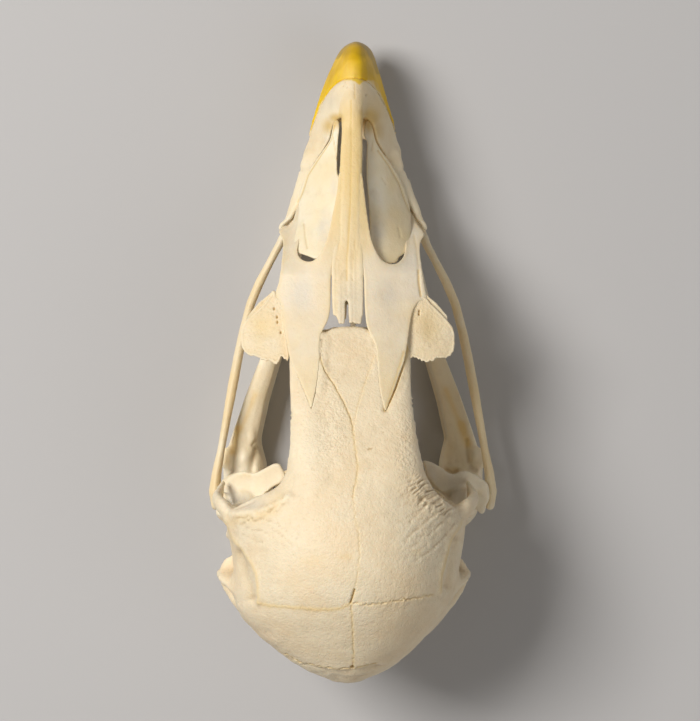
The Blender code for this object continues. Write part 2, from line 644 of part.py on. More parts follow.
def main():
    for old in list(bpy.data.objects):
        bpy.data.objects.remove(old)
    bones = {"cranium": make_cranium(), "vomer": fuse("vomer", [limb(VOMER)], THIN_BONE)}
    bones["beak_sheath"], bones["premaxilla"] = make_bill()
    bones["mandible_sheath"], bones["mandible"] = make_jaw()
    makers = {
        "nasal": (nasal_limbs, THIN_BONE),
        "nasal_concha": (concha_limbs, THIN_BONE),
        "lacrimal": (lacrimal_limbs, BONE),
        "jugal_bar": (jugal_limbs, BONE),
        "quadrate": (quadrate_limbs, BONE),
    }
    for name, side in SIDES.items():
        for part, (limbs, finish) in makers.items():
            bones[f"{part}_{name}"] = fuse(f"{part}_{name}", limbs(side), finish)
        palatine = limb(PALATINE, side=side)
        bones[f"palatine_{name}"] = fuse(f"palatine_{name}", [palatine], THIN_BONE)
        pterygoid = limb(PTERYGOID, side=side)
        bones[f"pterygoid_{name}"] = fuse(f"pterygoid_{name}", [pterygoid], BONE)

    gap = JOINT_GAP
    for name, side in SIDES.items():
        boolean(bones["cranium"], nasal_limbs(side, gap), "DIFFERENCE")
        boolean(bones["cranium"], lacrimal_limbs(side, gap), "DIFFERENCE")
        boolean(bones["cranium"], quadrate_limbs(side, gap), "DIFFERENCE")
        boolean(bones[f"nasal_{name}"], [*splints(gap), *lacrimal_limbs(side, gap)], "DIFFERENCE")
        boolean(bones[f"nasal_{name}"], [bill_side_bar(side, gap), *jugal_limbs(side, gap)], "DIFFERENCE")
        concha_cuts = [*nasal_limbs(side, gap), bill_side_bar(side, gap), *splints(gap)]
        boolean(bones[f"nasal_concha_{name}"], concha_cuts, "DIFFERENCE")
        boolean(bones[f"jugal_bar_{name}"], [bill_side_bar(side, gap), *quadrate_limbs(side, gap)], "DIFFERENCE")
        boolean(bones[f"pterygoid_{name}"], quadrate_limbs(side, gap), "DIFFERENCE")
        boolean(bones["mandible"], quadrate_limbs(side, gap), "DIFFERENCE")
    for bone in bones.values():
        keep_largest(bone)
        bone.data.shade_smooth()
        bone.data.set_sharp_from_angle(angle=math.radians(SMOOTH_ANGLE))


main()
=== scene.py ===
"""Chicken skull on a pale floor, seen from straight above.

Lengths are millimetres until a mesh is written. Outlines and lines on the upper side are given as the
pixels where they show in the picture, and seen() finds the place at a given height that shows there.
"""

import math

import bmesh
import bpy
import numpy as np
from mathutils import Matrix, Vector


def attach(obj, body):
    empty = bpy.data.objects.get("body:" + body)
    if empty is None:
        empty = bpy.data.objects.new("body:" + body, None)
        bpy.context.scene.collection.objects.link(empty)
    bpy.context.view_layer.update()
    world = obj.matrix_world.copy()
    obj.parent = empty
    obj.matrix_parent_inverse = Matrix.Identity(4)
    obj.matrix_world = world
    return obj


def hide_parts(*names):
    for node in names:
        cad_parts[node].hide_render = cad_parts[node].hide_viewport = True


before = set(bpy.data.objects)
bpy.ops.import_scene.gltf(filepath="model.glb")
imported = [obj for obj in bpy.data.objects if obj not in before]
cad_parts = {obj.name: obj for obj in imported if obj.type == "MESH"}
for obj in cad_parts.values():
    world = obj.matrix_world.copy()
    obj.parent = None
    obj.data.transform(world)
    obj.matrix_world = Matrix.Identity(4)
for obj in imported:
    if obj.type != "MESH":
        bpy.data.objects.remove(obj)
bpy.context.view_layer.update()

MM = 0.001
EYE = np.array([-0.355, -0.3, 500.0])
PICTURE_MIDDLE = np.array([350.0, 360.5])
PICTURE_HIGH = 721
PIXEL_SLOPE = 0.1184 / 480.0  # sideways millimetres for each pixel and millimetre below the eye
SIDES = {"left": -1, "right": 1}


def seen(px, py, height):
    """The point at a height that shows at a pixel."""
    reach = PIXEL_SLOPE * (EYE[2] - height)
    across, down = px - PICTURE_MIDDLE[0], py - PICTURE_MIDDLE[1]
    return np.array([EYE[0] + across * reach, EYE[1] - down * reach])


def pixels(points):
    """Where points show in the picture."""
    reach = PIXEL_SLOPE * (EYE[2] - points[:, 2])
    across = PICTURE_MIDDLE[0] + (points[:, 0] - EYE[0]) / reach
    down = PICTURE_MIDDLE[1] - (points[:, 1] - EYE[1]) / reach
    return np.stack([across, down], axis=1)


# ---------------------------------------------------------------- meshes as arrays


def points_of(piece):
    found = np.empty(len(piece.data.vertices) * 3, np.float32)
    piece.data.vertices.foreach_get("co", found)
    return found.reshape(-1, 3).astype(float) / MM


def place_points(piece, points):
    piece.data.vertices.foreach_set("co", (points * MM).astype(np.float32).ravel())
    piece.data.update()


def normals_of(piece):
    found = np.empty(len(piece.data.vertices) * 3, np.float32)
    piece.data.vertex_normals.foreach_get("vector", found)
    return found.reshape(-1, 3).astype(float)


def links_of(piece):
    """A piece's edges as pairs of points, and how many edges meet at each point."""
    edges = np.empty(len(piece.data.edges) * 2, np.int32)
    piece.data.edges.foreach_get("vertices", edges)
    count = np.maximum(np.bincount(edges, minlength=len(piece.data.vertices)), 1)
    return edges.reshape(-1, 2), count


def towards_neighbours(values, links):
    """How far each value is from the mean of the values at the points beside it."""
    (a, b), count = links[0].T, links[1]
    means = [(np.bincount(a, v[b], len(v)) + np.bincount(b, v[a], len(v))) / count for v in values.T]
    return np.stack(means, axis=1) - values


def relax(piece, rounds):
    """Evens out facets without shrinking: each pull inwards is undone by a slightly larger one outwards."""
    points, links = points_of(piece), links_of(piece)
    for _ in range(rounds):
        for pull in (0.5, -0.52):
            points += pull * towards_neighbours(points, links)
    place_points(piece, points)


def melt(piece, rounds, share=1.0):
    """Rounds off broad facets and gives back the height that this takes. share says how much, and where."""
    points, links, normals = points_of(piece), links_of(piece), normals_of(piece)
    share = np.broadcast_to(share, len(points))[:, None]
    soft = points.copy()
    for _ in range(rounds):
        soft += 0.5 * share * towards_neighbours(soft, links)
    lost = ((points - soft) * normals).sum(axis=1)[:, None]
    for _ in range(3 * rounds):
        lost += 0.5 * share * towards_neighbours(lost, links)
    place_points(piece, soft + lost * normals)


def keep_value(piece, name, values):
    layer = piece.data.attributes.get(name) or piece.data.attributes.new(name, "FLOAT", "POINT")
    layer.data.foreach_set("value", np.asarray(values, np.float32))


def keep_hollows(piece, rounds, strength, deepest=0.06):
    """Keeps how far each point lies under its smoothed place: above 0 in hollows and below 0 on ridges. The
    bone finish turns it into painted shade in hollows and painted highlights on ridges.
    """
    points, links, normals = points_of(piece), links_of(piece), normals_of(piece)
    soft = points.copy()
    for _ in range(rounds):
        soft += 0.5 * towards_neighbours(soft, links)
    under = ((soft - points) * normals).sum(axis=1)
    keep_value(piece, "hollow", np.clip(under / deepest, -1, 1) * strength)


def grain(points, size, seed=0):
    """Smooth noise from -1 to 1 with lumps of about that size."""
    scaled = points / size + 11.7 * seed + 1000
    cell = np.floor(scaled).astype(np.int64)
    part = scaled - cell
    part = part * part * (3 - 2 * part)
    total = np.zeros(len(points))
    for corner in range(8):
        step = np.array([corner & 1, corner >> 1 & 1, corner >> 2 & 1][: points.shape[1]])
        if corner >> points.shape[1]:
            continue
        knot = cell + step
        mixed = knot[:, 0] * 374761393 + knot[:, 1] * 668265263 + seed * 974634777
        if points.shape[1] > 2:
            mixed = mixed + knot[:, 2] * 2246822519
        mixed = (mixed ^ (mixed >> 13)) * 1274126177 & 0xFFFFFFFF
        value = ((mixed ^ (mixed >> 16)) & 0xFFFF) / 32767.5 - 1
        total += value * np.prod(np.where(step > 0, part, 1 - part), axis=1)
    return total


def rugged(points, size, octaves, seed):
    """Noise in lumps of that size with finer ones on them."""
    return sum(grain(points, size / 2**i, seed + i) / 2**i for i in range(octaves)) / 1.6


def lumpy(points, coarse, fine):
    """Low lumps of two sizes, each given as its height, its width and its seed."""
    return coarse[0] * rugged(points, coarse[1], 3, coarse[2]) + fine[0] * rugged(points, fine[1], 2, fine[2])


def soft_step(low, high, values):
    t = np.clip((values - low) / (high - low), 0, 1)
    return t * t * (3 - 2 * t)


def eased(at, places, values, reach=1.8):
    """A value read from a table, with the table's corners rounded off."""
    shares = (-1.0, -0.5, 0.0, 0.5, 1.0)
    return sum(np.interp(at + reach * share, places, values) for share in shares) / len(shares)


def wander(line, step, amount, seed):
    """A line through the same points that strays sideways at each step, as a suture does."""
    line = np.array(line, float)
    lengths = np.linalg.norm(np.diff(line, axis=0), axis=1)
    along = np.concatenate([[0], np.cumsum(lengths)])
    stops = np.linspace(0, along[-1], max(2, int(along[-1] / step) + 1))
    path = np.stack([np.interp(stops, along, line[:, k]) for k in (0, 1)], axis=1)
    heading = np.gradient(path, axis=0)
    aside = np.stack([-heading[:, 1], heading[:, 0]], axis=1)
    aside /= np.linalg.norm(heading, axis=1)[:, None]
    offsets = np.random.default_rng(seed).uniform(-amount, amount, len(path))
    offsets[[0, -1]] = 0
    return path + aside * offsets[:, None]


def away_from(places, line):
    """How far each place is from a line."""
    best = np.full(len(places), 1e9)
    line = np.array(line, float)
    for a, b in zip(line, line[1:]):
        span = b - a
        t = np.clip((places - a) @ span / max(span @ span, 1e-9), 0, 1)
        best = np.minimum(best, np.linalg.norm(places - a - t[:, None] * span, axis=1))
    return best


def streak(places, line, wide):
    """1 on a line, fading to a third at that width beside it."""
    return np.exp(-((away_from(places, line) / wide) ** 2))


def spot(places, centre, radii):
    """1 in the middle of an oval spot and 0 outside it, fading softly."""
    away = np.linalg.norm((places - np.array(centre)) / np.array(radii), axis=1)
    return soft_step(1.0, 0.0, away)


def inside(places, outline):
    """Which places lie inside a closed outline."""
    x, y = places[:, 0], places[:, 1]
    found = np.zeros(len(places), bool)
    outline = np.array(outline, float)
    for (ax, ay), (bx, by) in zip(outline, np.roll(outline, -1, axis=0)):
        crosses = (ay > y) != (by > y)
        if ay != by:
            found ^= crosses & (x < (bx - ax) * (y - ay) / (by - ay) + ax)
    return found


def rounded(outline, step):
    """A smooth closed curve through the corners of an outline, in even steps."""
    corners = np.array(outline, float)
    corners = np.vstack([corners[-1], corners, corners[:2]])
    found = []
    for p, a, b, q in zip(corners, corners[1:], corners[2:], corners[3:]):
        bend, turn = 2 * p - 5 * a + 4 * b - q, 3 * a - p - 3 * b + q
        for t in np.linspace(0, 1, max(2, int(np.linalg.norm(b - a) / step) + 1))[:-1]:
            found.append(0.5 * (2 * a + (b - p) * t + bend * t * t + turn * t**3))
    return np.array(found)


# ---------------------------------------------------------------- making pieces


def only(piece):
    if bpy.context.object and bpy.context.object.mode != "OBJECT":
        bpy.ops.object.mode_set(mode="OBJECT")
    bpy.ops.object.select_all(action="DESELECT")
    piece.select_set(True)
    bpy.context.view_layer.objects.active = piece


def copy_of(node, name):
    """A copy of a bone from the frame, with its loose triangles merged."""
    piece = bpy.data.objects.new(name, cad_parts[node].data.copy())
    piece.data.name = name
    piece.data.materials.clear()
    bpy.context.scene.collection.objects.link(piece)
    only(piece)
    bpy.ops.object.mode_set(mode="EDIT")
    bpy.ops.mesh.select_all(action="SELECT")
    bpy.ops.mesh.remove_doubles(threshold=0.000001)
    bpy.ops.object.mode_set(mode="OBJECT")
    return piece


def even_skin(piece, pitch):
    """One closed skin of even small faces over all that the piece holds."""
    only(piece)
    skin = piece.modifiers.new("skin", "REMESH")
    skin.mode = "VOXEL"
    skin.voxel_size = pitch * MM
    bpy.ops.object.modifier_apply(modifier=skin.name)


def joined(name, pieces):
    only(pieces[0])
    for piece in pieces[1:]:
        piece.select_set(True)
    if pieces[1:]:
        bpy.ops.object.join()
    pieces[0].name = pieces[0].data.name = name
    return pieces[0]


def disc(name, corners, radius):
    bpy.ops.object.select_all(action="DESELECT")
    bpy.ops.mesh.primitive_circle_add(vertices=corners, radius=radius, fill_type="NGON", location=(0, 0, 0))
    piece = bpy.context.object
    piece.name = piece.data.name = name
    return piece


def slab(name, outline, thickness, pitch):
    """A flat plate cut to an outline in plan, with its middle at height 0 and even small faces."""
    piece = disc(name, len(outline), 1)
    outline = np.array(outline)
    place_points(piece, np.column_stack([outline, np.full(len(outline), -thickness / 2)]))
    only(piece)
    bpy.ops.object.mode_set(mode="EDIT")
    bpy.ops.mesh.select_all(action="SELECT")
    bpy.ops.mesh.extrude_region_move(TRANSFORM_OT_translate={"value": (0, 0, thickness * MM)})
    bpy.ops.mesh.select_all(action="SELECT")
    bpy.ops.mesh.quads_convert_to_tris(ngon_method="CLIP")
    bpy.ops.mesh.normals_make_consistent(inside=False)
    bpy.ops.object.mode_set(mode="OBJECT")
    even_skin(piece, pitch)
    return piece


def draped(name, outline_px, height, thickness, pitch):
    """A plate cut to an outline in the picture and laid on the surface whose height is height(x, y)."""
    outline = []
    for px, py in outline_px:
        z = 20.0
        for _ in range(6):
            x, y = seen(px, py, z)
            z = float(height(np.array([x]), np.array([y]))[0])
        outline.append((x, y))
    piece = slab(name, outline, thickness, pitch)
    points = points_of(piece)
    points[:, 2] += height(points[:, 0], points[:, 1])
    place_points(piece, points)
    return piece


def cut_off(piece, at, direction):
    """Cuts away what lies beyond a plane and closes the cut."""
    only(piece)
    bpy.ops.object.mode_set(mode="EDIT")
    bpy.ops.mesh.select_all(action="SELECT")
    place = [v * MM for v in at]
    bpy.ops.mesh.bisect(plane_co=place, plane_no=direction, use_fill=True, clear_outer=True)
    bpy.ops.object.mode_set(mode="OBJECT")


def finer(piece, picked):
    """Divides the faces whose points are picked."""
    shell = bmesh.new()
    shell.from_mesh(piece.data)
    shell.verts.ensure_lookup_table()
    near = [e for e in shell.edges if picked[e.verts[0].index] and picked[e.verts[1].index]]
    bmesh.ops.subdivide_edges(shell, edges=near, cuts=1, use_grid_fill=True)
    bmesh.ops.triangulate(shell, faces=[f for f in shell.faces if len(f.verts) > 4])
    shell.to_mesh(piece.data)
    shell.free()
    piece.data.update()


def settle(piece, material, slot, *nodes):
    """Finishes a piece: smooth shading, its material and the nodes that it stands for. The slot is not used.
    """
    piece.data.materials.clear()
    piece.data.materials.append(material)
    only(piece)
    bpy.ops.object.shade_smooth()
    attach(piece, "root")
    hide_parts(*nodes)
    return piece


# ---------------------------------------------------------------- finishes


def add(tree, kind, **settings):
    node = tree.nodes.new(kind)
    for name, value in settings.items():
        setattr(node, name, value)
    return node


def set_inputs(node, **values):
    """Sets sockets, whose names are given with _ for a space."""
    for name, value in values.items():
        node.inputs[name.replace("_", " ")].default_value = value


def attribute(tree, name):
    return add(tree, "ShaderNodeAttribute", attribute_name=name).outputs["Fac"]


def blended(tree, share, first, second):
    """Mixes two colours, each a colour or a socket, by a number or a socket."""
    mix = add(tree, "ShaderNodeMix", data_type="RGBA")
    for socket, value in ((mix.inputs[0], share), (mix.inputs[6], first), (mix.inputs[7], second)):
        if isinstance(value, bpy.types.NodeSocket):
            tree.links.new(value, socket)
        elif isinstance(value, tuple):
            socket.default_value = (*value, 1)
        else:
            socket.default_value = value
    return mix.outputs[2]


def sums(tree, operation, *values, clamp=False):
    node = add(tree, "ShaderNodeMath", operation=operation, use_clamp=clamp)
    for socket, value in zip(node.inputs, values):
        if isinstance(value, bpy.types.NodeSocket):
            tree.links.new(value, socket)
        else:
            socket.default_value = value
    return node.outputs[0]


def ranged(tree, value, low, high, to_low=0.0, to_high=1.0):
    node = add(tree, "ShaderNodeMapRange", clamp=True)
    tree.links.new(value, node.inputs["Value"])
    for name, number in (("From Min", low), ("From Max", high), ("To Min", to_low), ("To Max", to_high)):
        node.inputs[name].default_value = number
    return node.outputs[0]


def cloud(tree, place, size, detail, roughness=0.55, distortion=0.0):
    """Noise whose lumps are about size millimetres across."""
    node = add(tree, "ShaderNodeTexNoise")
    tree.links.new(place, node.inputs["Vector"])
    set_inputs(node, Scale=1 / (size * MM), Detail=detail, Roughness=roughness, Distortion=distortion)
    return node.outputs["Fac"]


KEPT_VALUES = ("Stain_and_shade", "Seam", "Cool", "Hollow", "Golden", "Grit")


def dry_bone_group():
    """Dry bone's surface: cream with warm and grey clouds, pores, stains and seams, with painted shade that
    darkens the hollows and painted highlights that make the ridges paler.
    """
    tree = bpy.data.node_groups.new("dry_bone", "ShaderNodeTree")
    for name in ("Light", "Warm", "Pores", *KEPT_VALUES):
        kind = "Color" if name in ("Light", "Warm") else "Float"
        tree.interface.new_socket(name, in_out="INPUT", socket_type=f"NodeSocket{kind}")
    for name, kind in (("Color", "Color"), ("Roughness", "Float"), ("Height", "Float")):
        tree.interface.new_socket(name, in_out="OUTPUT", socket_type=f"NodeSocket{kind}")
    inlet, outlet = add(tree, "NodeGroupInput"), add(tree, "NodeGroupOutput")
    given = inlet.outputs
    place = add(tree, "ShaderNodeTexCoord").outputs["Object"]

    broad = cloud(tree, place, 7.0, 3.0)
    middle = cloud(tree, place, 1.7, 2.0)
    fine = cloud(tree, place, 0.42, 3.0, 0.6)
    grit = cloud(tree, place, 0.2, 2.0, 0.6)

    color = blended(tree, ranged(tree, broad, 0.38, 0.64), given["Light"], given["Warm"])
    color = blended(tree, ranged(tree, middle, 0.52, 0.72, 0.0, 0.3), color, (0.93, 0.83, 0.62))
    color = blended(tree, ranged(tree, middle, 0.45, 0.25, 0.0, 0.28), color, (0.66, 0.55, 0.37))
    pore = sums(tree, "MULTIPLY", ranged(tree, fine, 0.42, 0.3), given["Pores"], clamp=True)
    # Painted shade darkens the hollows and painted highlights lighten the ridges, both read from the kept
    # hollow value.
    painted_hollow_shade, painted_ridge_highlight = ranged(tree, given["Hollow"], 0.0, 1.0), ranged(tree, given["Hollow"], 0.0, -1.0)
    for share, strength, tint in (
        (pore, 0.16, (0.5, 0.34, 0.16)),
        (given["Cool"], 0.6, (0.58, 0.57, 0.54)),
        # Warm seam tint, which some pieces also use for painted tan shade in pockets and on sides turned from
        # the key lamp.
        (given["Seam"], 0.8, (0.8, 0.57, 0.2)),
        # Brown stain, which some pieces also use for painted dark shade in holes, clefts and pockets.
        (given["Stain_and_shade"], 0.85, (0.54, 0.34, 0.07)),
        (painted_hollow_shade, 0.6, (0.36, 0.23, 0.1)),
        (painted_ridge_highlight, 0.4, (0.95, 0.88, 0.7)),
        (given["Golden"], 1.0, (0.84, 0.57, 0.06)),
    ):
        color = blended(tree, sums(tree, "MULTIPLY", share, strength, clamp=True), color, tint)

    rough = ranged(tree, middle, 0.3, 0.7, 0.42, 0.6)
    rough = sums(tree, "ADD", rough, sums(tree, "MULTIPLY", pore, 0.2))
    height = sums(tree, "ADD", sums(tree, "MULTIPLY", middle, 0.3), sums(tree, "MULTIPLY", fine, 0.7))
    height = sums(tree, "ADD", height, sums(tree, "MULTIPLY", grit, 0.5))
    height = sums(tree, "SUBTRACT", height, sums(tree, "MULTIPLY", pore, 0.3))
    crumbs = sums(tree, "MULTIPLY", cloud(tree, place, 0.33, 2.0, 0.5, 0.3), 2.2)
    height = sums(tree, "ADD", height, sums(tree, "MULTIPLY", given["Grit"], crumbs))
    for name, socket in (("Color", color), ("Roughness", rough), ("Height", height)):
        tree.links.new(socket, outlet.inputs[name])
    return tree


DRY_BONE = dry_bone_group()


def new_finish(name):
    material = bpy.data.materials.new(name)
    material.use_nodes = True
    return material, material.node_tree, material.node_tree.nodes["Principled BSDF"]


def clothe(tree, shader, color, roughness, height, strength, relief):
    """Feeds a shader its colour, its roughness and a bump whose relief is in millimetres."""
    bump = add(tree, "ShaderNodeBump")
    set_inputs(bump, Strength=strength, Distance=relief * MM)
    tree.links.new(height, bump.inputs["Height"])
    for name, socket in (("Base Color", color), ("Roughness", roughness), ("Normal", bump.outputs["Normal"])):
        tree.links.new(socket, shader.inputs[name])


def bone_finish(name, light, warm, pores, relief, glow=0.1):
    """Dry bone, which reads the stain, seam, cool, hollow, golden and grit values that each piece keeps; the
    stain and seam values carry painted shade as well as real stains and tints.
    """
    material, tree, shader = new_finish(name)
    group = add(tree, "ShaderNodeGroup", node_tree=DRY_BONE)
    set_inputs(group, Light=(*light, 1), Warm=(*warm, 1), Pores=pores)
    for value in KEPT_VALUES:
        tree.links.new(attribute(tree, value.lower()), group.inputs[value])
    color, rough, height = (group.outputs[name] for name in ("Color", "Roughness", "Height"))
    clothe(tree, shader, color, rough, height, 0.7, relief)
    set_inputs(shader, Subsurface_Weight=glow, Subsurface_Radius=(1.0, 0.65, 0.4), Subsurface_Scale=0.9 * MM)
    set_inputs(shader, Specular_IOR_Level=0.4)
    return material


def horn_finish():
    """Golden horn: olive at its rim, deeper amber at the tip, paler where bone lies close under it."""
    material, tree, shader = new_finish("golden_horn")
    place = add(tree, "ShaderNodeTexCoord").outputs["Object"]
    streaks = add(tree, "ShaderNodeMapping")
    set_inputs(streaks, Scale=(1.0, 0.25, 0.5))
    tree.links.new(place, streaks.inputs["Vector"])
    lines = cloud(tree, streaks.outputs["Vector"], 0.55, 4.0)
    haze = cloud(tree, place, 2.4, 2.0)
    color = blended(tree, ranged(tree, haze, 0.35, 0.65), (0.86, 0.56, 0.006), (0.76, 0.46, 0.002))
    color = blended(tree, attribute(tree, "pale"), color, (0.85, 0.6, 0.14))
    color = blended(tree, attribute(tree, "amber"), color, (0.5, 0.3, 0.001))
    color = blended(tree, ranged(tree, lines, 0.52, 0.7, 0.0, 0.25), color, (0.6, 0.36, 0.01))
    color = blended(tree, attribute(tree, "rim"), color, (0.3, 0.22, 0.05))
    color = blended(tree, attribute(tree, "bare"), color, (0.8, 0.66, 0.42))
    clothe(tree, shader, color, ranged(tree, lines, 0.3, 0.7, 0.34, 0.5), lines, 0.35, 0.05)
    set_inputs(shader, Subsurface_Weight=0.15, Subsurface_Radius=(1.0, 0.6, 0.15), Subsurface_Scale=0.8 * MM)
    set_inputs(shader, Specular_IOR_Level=0.25, Coat_Weight=0.05, Coat_Roughness=0.25)
    return material


# Light and warm colour, strength of the pores, relief in millimetres, and glow where it isn't 0.1.
CREAM = bone_finish("cream_bone", (0.84, 0.73, 0.53), (0.82, 0.67, 0.45), 0.45, 0.13)
IVORY = bone_finish("ivory_bone", (0.86, 0.76, 0.56), (0.83, 0.68, 0.44), 0.35, 0.08)
NASAL_BONE = bone_finish("thin_nasal_bone", (0.82, 0.74, 0.6), (0.82, 0.69, 0.48), 0.25, 0.07, 0.15)
LEAF_BONE = bone_finish("thin_leaf_bone", (0.91, 0.84, 0.68), (0.88, 0.77, 0.55), 0.25, 0.07, 0.15)
JAW_BONE = bone_finish("jaw_bone", (0.92, 0.85, 0.68), (0.88, 0.77, 0.56), 0.3, 0.08)
WHITE_BONE = bone_finish("white_bone", (0.88, 0.82, 0.68), (0.86, 0.76, 0.56), 0.2, 0.08)
HORN = horn_finish()


# ---------------------------------------------------------------- roof of the snout

NASAL_MIDDLE = -0.5  # the snout's middle line lies a little to the left
ROOF_RISE = 0.12  # the roof's upper face over the ridge of the solids
NASAL_SINK = 0.07  # how far the nasals' upper face lies under the roof's
SEAT_SINK = 0.05  # how far their seats in the frontals lie under that
NASAL_THICK = 0.62
FILLER_SINK = 0.64  # the bone under the nasals lies this far under their upper face
PLATE_SINK = 0.1  # the ethmoid plate lies this far under the bone round it
OUTLINE_STEP = 1.2  # pixels from point to point along a smoothed outline


def snout_ridge(y):
    """Height of the middle of the thin roof bones along the snout."""
    behind = [-8.5, -6.5, -4.5, -2.8, -0.6, 1.4, 2.9, 4.6, 6.8]
    ahead = [9.4, 12.0, 14.0, 16.5, 22.0, 25.0, 28.0, 31.0, 34.0]
    high = [28.7, 27.85, 27.0, 26.2, 25.15, 24.2, 23.5, 22.7, 21.95]
    low = [21.2, 20.5, 19.9, 19.1, 17.4, 16.4, 15.35, 14.1, 12.8]
    return eased(y, behind + ahead, high + low, 1.0)


def roof_surface(x, y):
    """Height of the roof of the snout, which is arched across and steep beside the rear of the nostril."""
    middle = np.interp(y, [4.0, 10.0, 15.0, 20.0, 26.0, 30.0], [-0.75, -0.65, -0.45, -0.3, -0.2, 0.0])
    out = np.abs(x - middle)
    arch = np.interp(y, [12.0, 20.0, 28.0], [0.03, 0.09, 0.14])
    aside = np.maximum(out - 2.0, 0)
    back = np.clip(y - 9.8, 0, 20)
    down = soft_step(3.0, 7.4, out) * 1.3 * back**2 / (back + 1.5)
    slope = arch * np.minimum(out, 2.0) ** 2
    return snout_ridge(y) + ROOF_RISE - slope - 0.08 * aside - 0.022 * aside**2 - down


def nasal_surface(x, y):
    """Height of a nasal, whose inner edge slips a hair's breadth under the bridge."""
    return roof_surface(x, y) - NASAL_SINK


NASAL_LEFT = [
    (336, 250), (333, 262), (331, 275), (330.6, 292), (330.2, 306), (329.4, 314), (327.4, 321),
    (323.8, 328), (320.8, 335), (319.6, 345), (319.8, 358), (318.4, 372), (316.8, 384), (314.4, 396),
    (311, 408), (307, 399), (302, 387), (296.5, 374), (291.5, 364), (289, 355), (287.3, 345), (285.6, 335),
    (283.6, 325), (282.6, 315), (281.8, 307), (279, 301), (275.8, 292.5), (278.6, 283), (280.5, 272),
    (281.6, 262), (283.3, 243), (281, 236), (279, 231), (284, 226.5), (290, 225), (294, 218), (297, 205),
    (300, 196.5), (302.6, 200), (302.4, 215), (301, 230), (298.6, 243), (297.3, 251), (299.5, 257.5),
    (304.5, 260.8), (310, 261.5), (315, 259.5), (320.5, 253), (325, 244), (329, 232), (332, 217),
    (335, 203), (337.5, 189), (339, 174), (344, 172), (346, 190), (345.5, 210), (344, 230), (340, 243),
]
NASAL_RIGHT = [
    (359, 250), (362, 262), (363.8, 276), (364.4, 292), (364.9, 306), (365.5, 316), (366.6, 324),
    (368.8, 331), (372.6, 338.5), (375.8, 347), (377.4, 362), (378.8, 380), (381, 396), (385.3, 410.6),
    (389.2, 401.6), (394.6, 388), (399.4, 374), (403.8, 362), (406.2, 350), (407.8, 340), (409.5, 328),
    (411.8, 315), (415, 306.5), (420, 301), (426.8, 299), (424.4, 285), (421.4, 265), (419.6, 248),
    (421, 241), (424, 234.5), (421, 229), (417, 224), (414, 218), (411, 212), (407.5, 204), (404.5, 197),
    (402.5, 200), (403.5, 212), (404.5, 228), (405.5, 242), (405, 252), (402, 259), (396.5, 263.5),
    (389, 263.8), (381.5, 259.5), (376, 251), (371.5, 240), (368.8, 226), (366, 205), (363.6, 186),
    (361.6, 173), (357, 175), (355.5, 197), (355, 225), (356, 243),
]
CONCHA_SUTURE = {
    "left": [(334, 126), (330.6, 140.4), (318.4, 158.8), (308, 175), (302, 193.5), (298, 202)],
    "right": [(378, 150.5), (388.8, 165.2), (399, 183.3), (404.8, 199.5), (410, 212)],
}


def seams(piece, lines, top):
    """Cuts fine grooves and tells where they run. Each line is its path, width, depth and tint."""
    points, normals = points_of(piece), normals_of(piece)
    spots = pixels(points)
    depth, tint = np.zeros(len(points)), np.zeros(len(points))
    for path, wide, deep, tinted in lines:
        share = streak(spots, path, wide) * top
        depth += share * deep
        tint = np.maximum(tint, share * tinted)
    place_points(piece, points - normals * depth[:, None])
    return tint


NASAL_LINES = {
    "left": [([(297, 374), (303, 390), (311, 407)], 0.9, 0.05, 0.5)],
    "right": [
        ([(414, 236), (417, 250), (418.5, 268)], 1.2, 0.05, 0.3),
        ([(418.5, 270), (419, 282), (421, 296)], 1.1, 0.14, 0.9),
        ([(404, 352), (396, 378), (386, 408)], 1.8, 0.05, 0.8),
    ],
}


def make_nasal(side, outline):
    plate = draped(f"nasal_{side}_bone", rounded(outline, OUTLINE_STEP), nasal_surface, NASAL_THICK, 0.13)
    relax(plate, 5)
    points, normals = points_of(plate), normals_of(plate)
    spots = pixels(points)
    top = soft_step(0.0, 0.4, normals[:, 2])
    left = side == "left"
    depth = lumpy(points, (0.02, 1.6, 51 + SIDES[side]), (0.012, 0.4, 53))
    patch = spot(spots, (303 if left else 391, 297), (22, 32))
    depth += 0.12 * patch * top
    points -= normals * depth[:, None]
    place_points(plate, points)
    seam = seams(plate, NASAL_LINES[side], top)
    edge = away_from(spots, [*outline, outline[0]])
    warm = soft_step(5.0, 0.5, edge) * 0.3
    forward = soft_step(285, 205, spots[:, 1]) * 0.85 * (np.abs(points[:, 0] - NASAL_MIDDLE) < 4.5)
    rear = 0.4 * soft_step(325, 385, spots[:, 1])
    keep_hollows(plate, 6, 0.5)
    keep_value(plate, "seam", np.maximum.reduce([warm, forward, rear, seam]) * top)
    keep_value(plate, "cool", patch * (0.55 + 0.35 * rugged(points, 1.4, 2, 57)) * top)
    return settle(plate, NASAL_BONE, "thin_bone", f"nasal_{side}")


CONCHA_LEFT = [
    (333.4, 123), (331.5, 134), (329.4, 141), (323.5, 150), (316.5, 159.5), (306.5, 175), (300.5, 190),
    (299, 200), (298.5, 216), (296, 232), (293.5, 244), (294.5, 250), (298, 253), (303, 254.5),
    (309, 256.5), (315, 258.5), (322, 256), (329, 246), (334, 234), (338, 214), (340, 195), (339.5, 180),
    (337.2, 172), (337, 160), (338, 142), (339.4, 128), (338.5, 121), (335.5, 119.5),
]
CONCHA_RIGHT = [
    (370.5, 122), (373.5, 132), (375.5, 141), (380, 149.5), (391, 164), (401.5, 182), (407.5, 199),
    (410.5, 212), (411, 226), (410.5, 240), (409, 250), (404, 253.5), (401, 256), (398.5, 258),
    (396.5, 262.5), (388, 263), (379, 260), (373, 251), (369.6, 240), (369.8, 224), (368.9, 204),
    (366.8, 180), (366.6, 163), (367, 143), (365.2, 138.5), (363.8, 134), (364.5, 126), (367, 120),
]


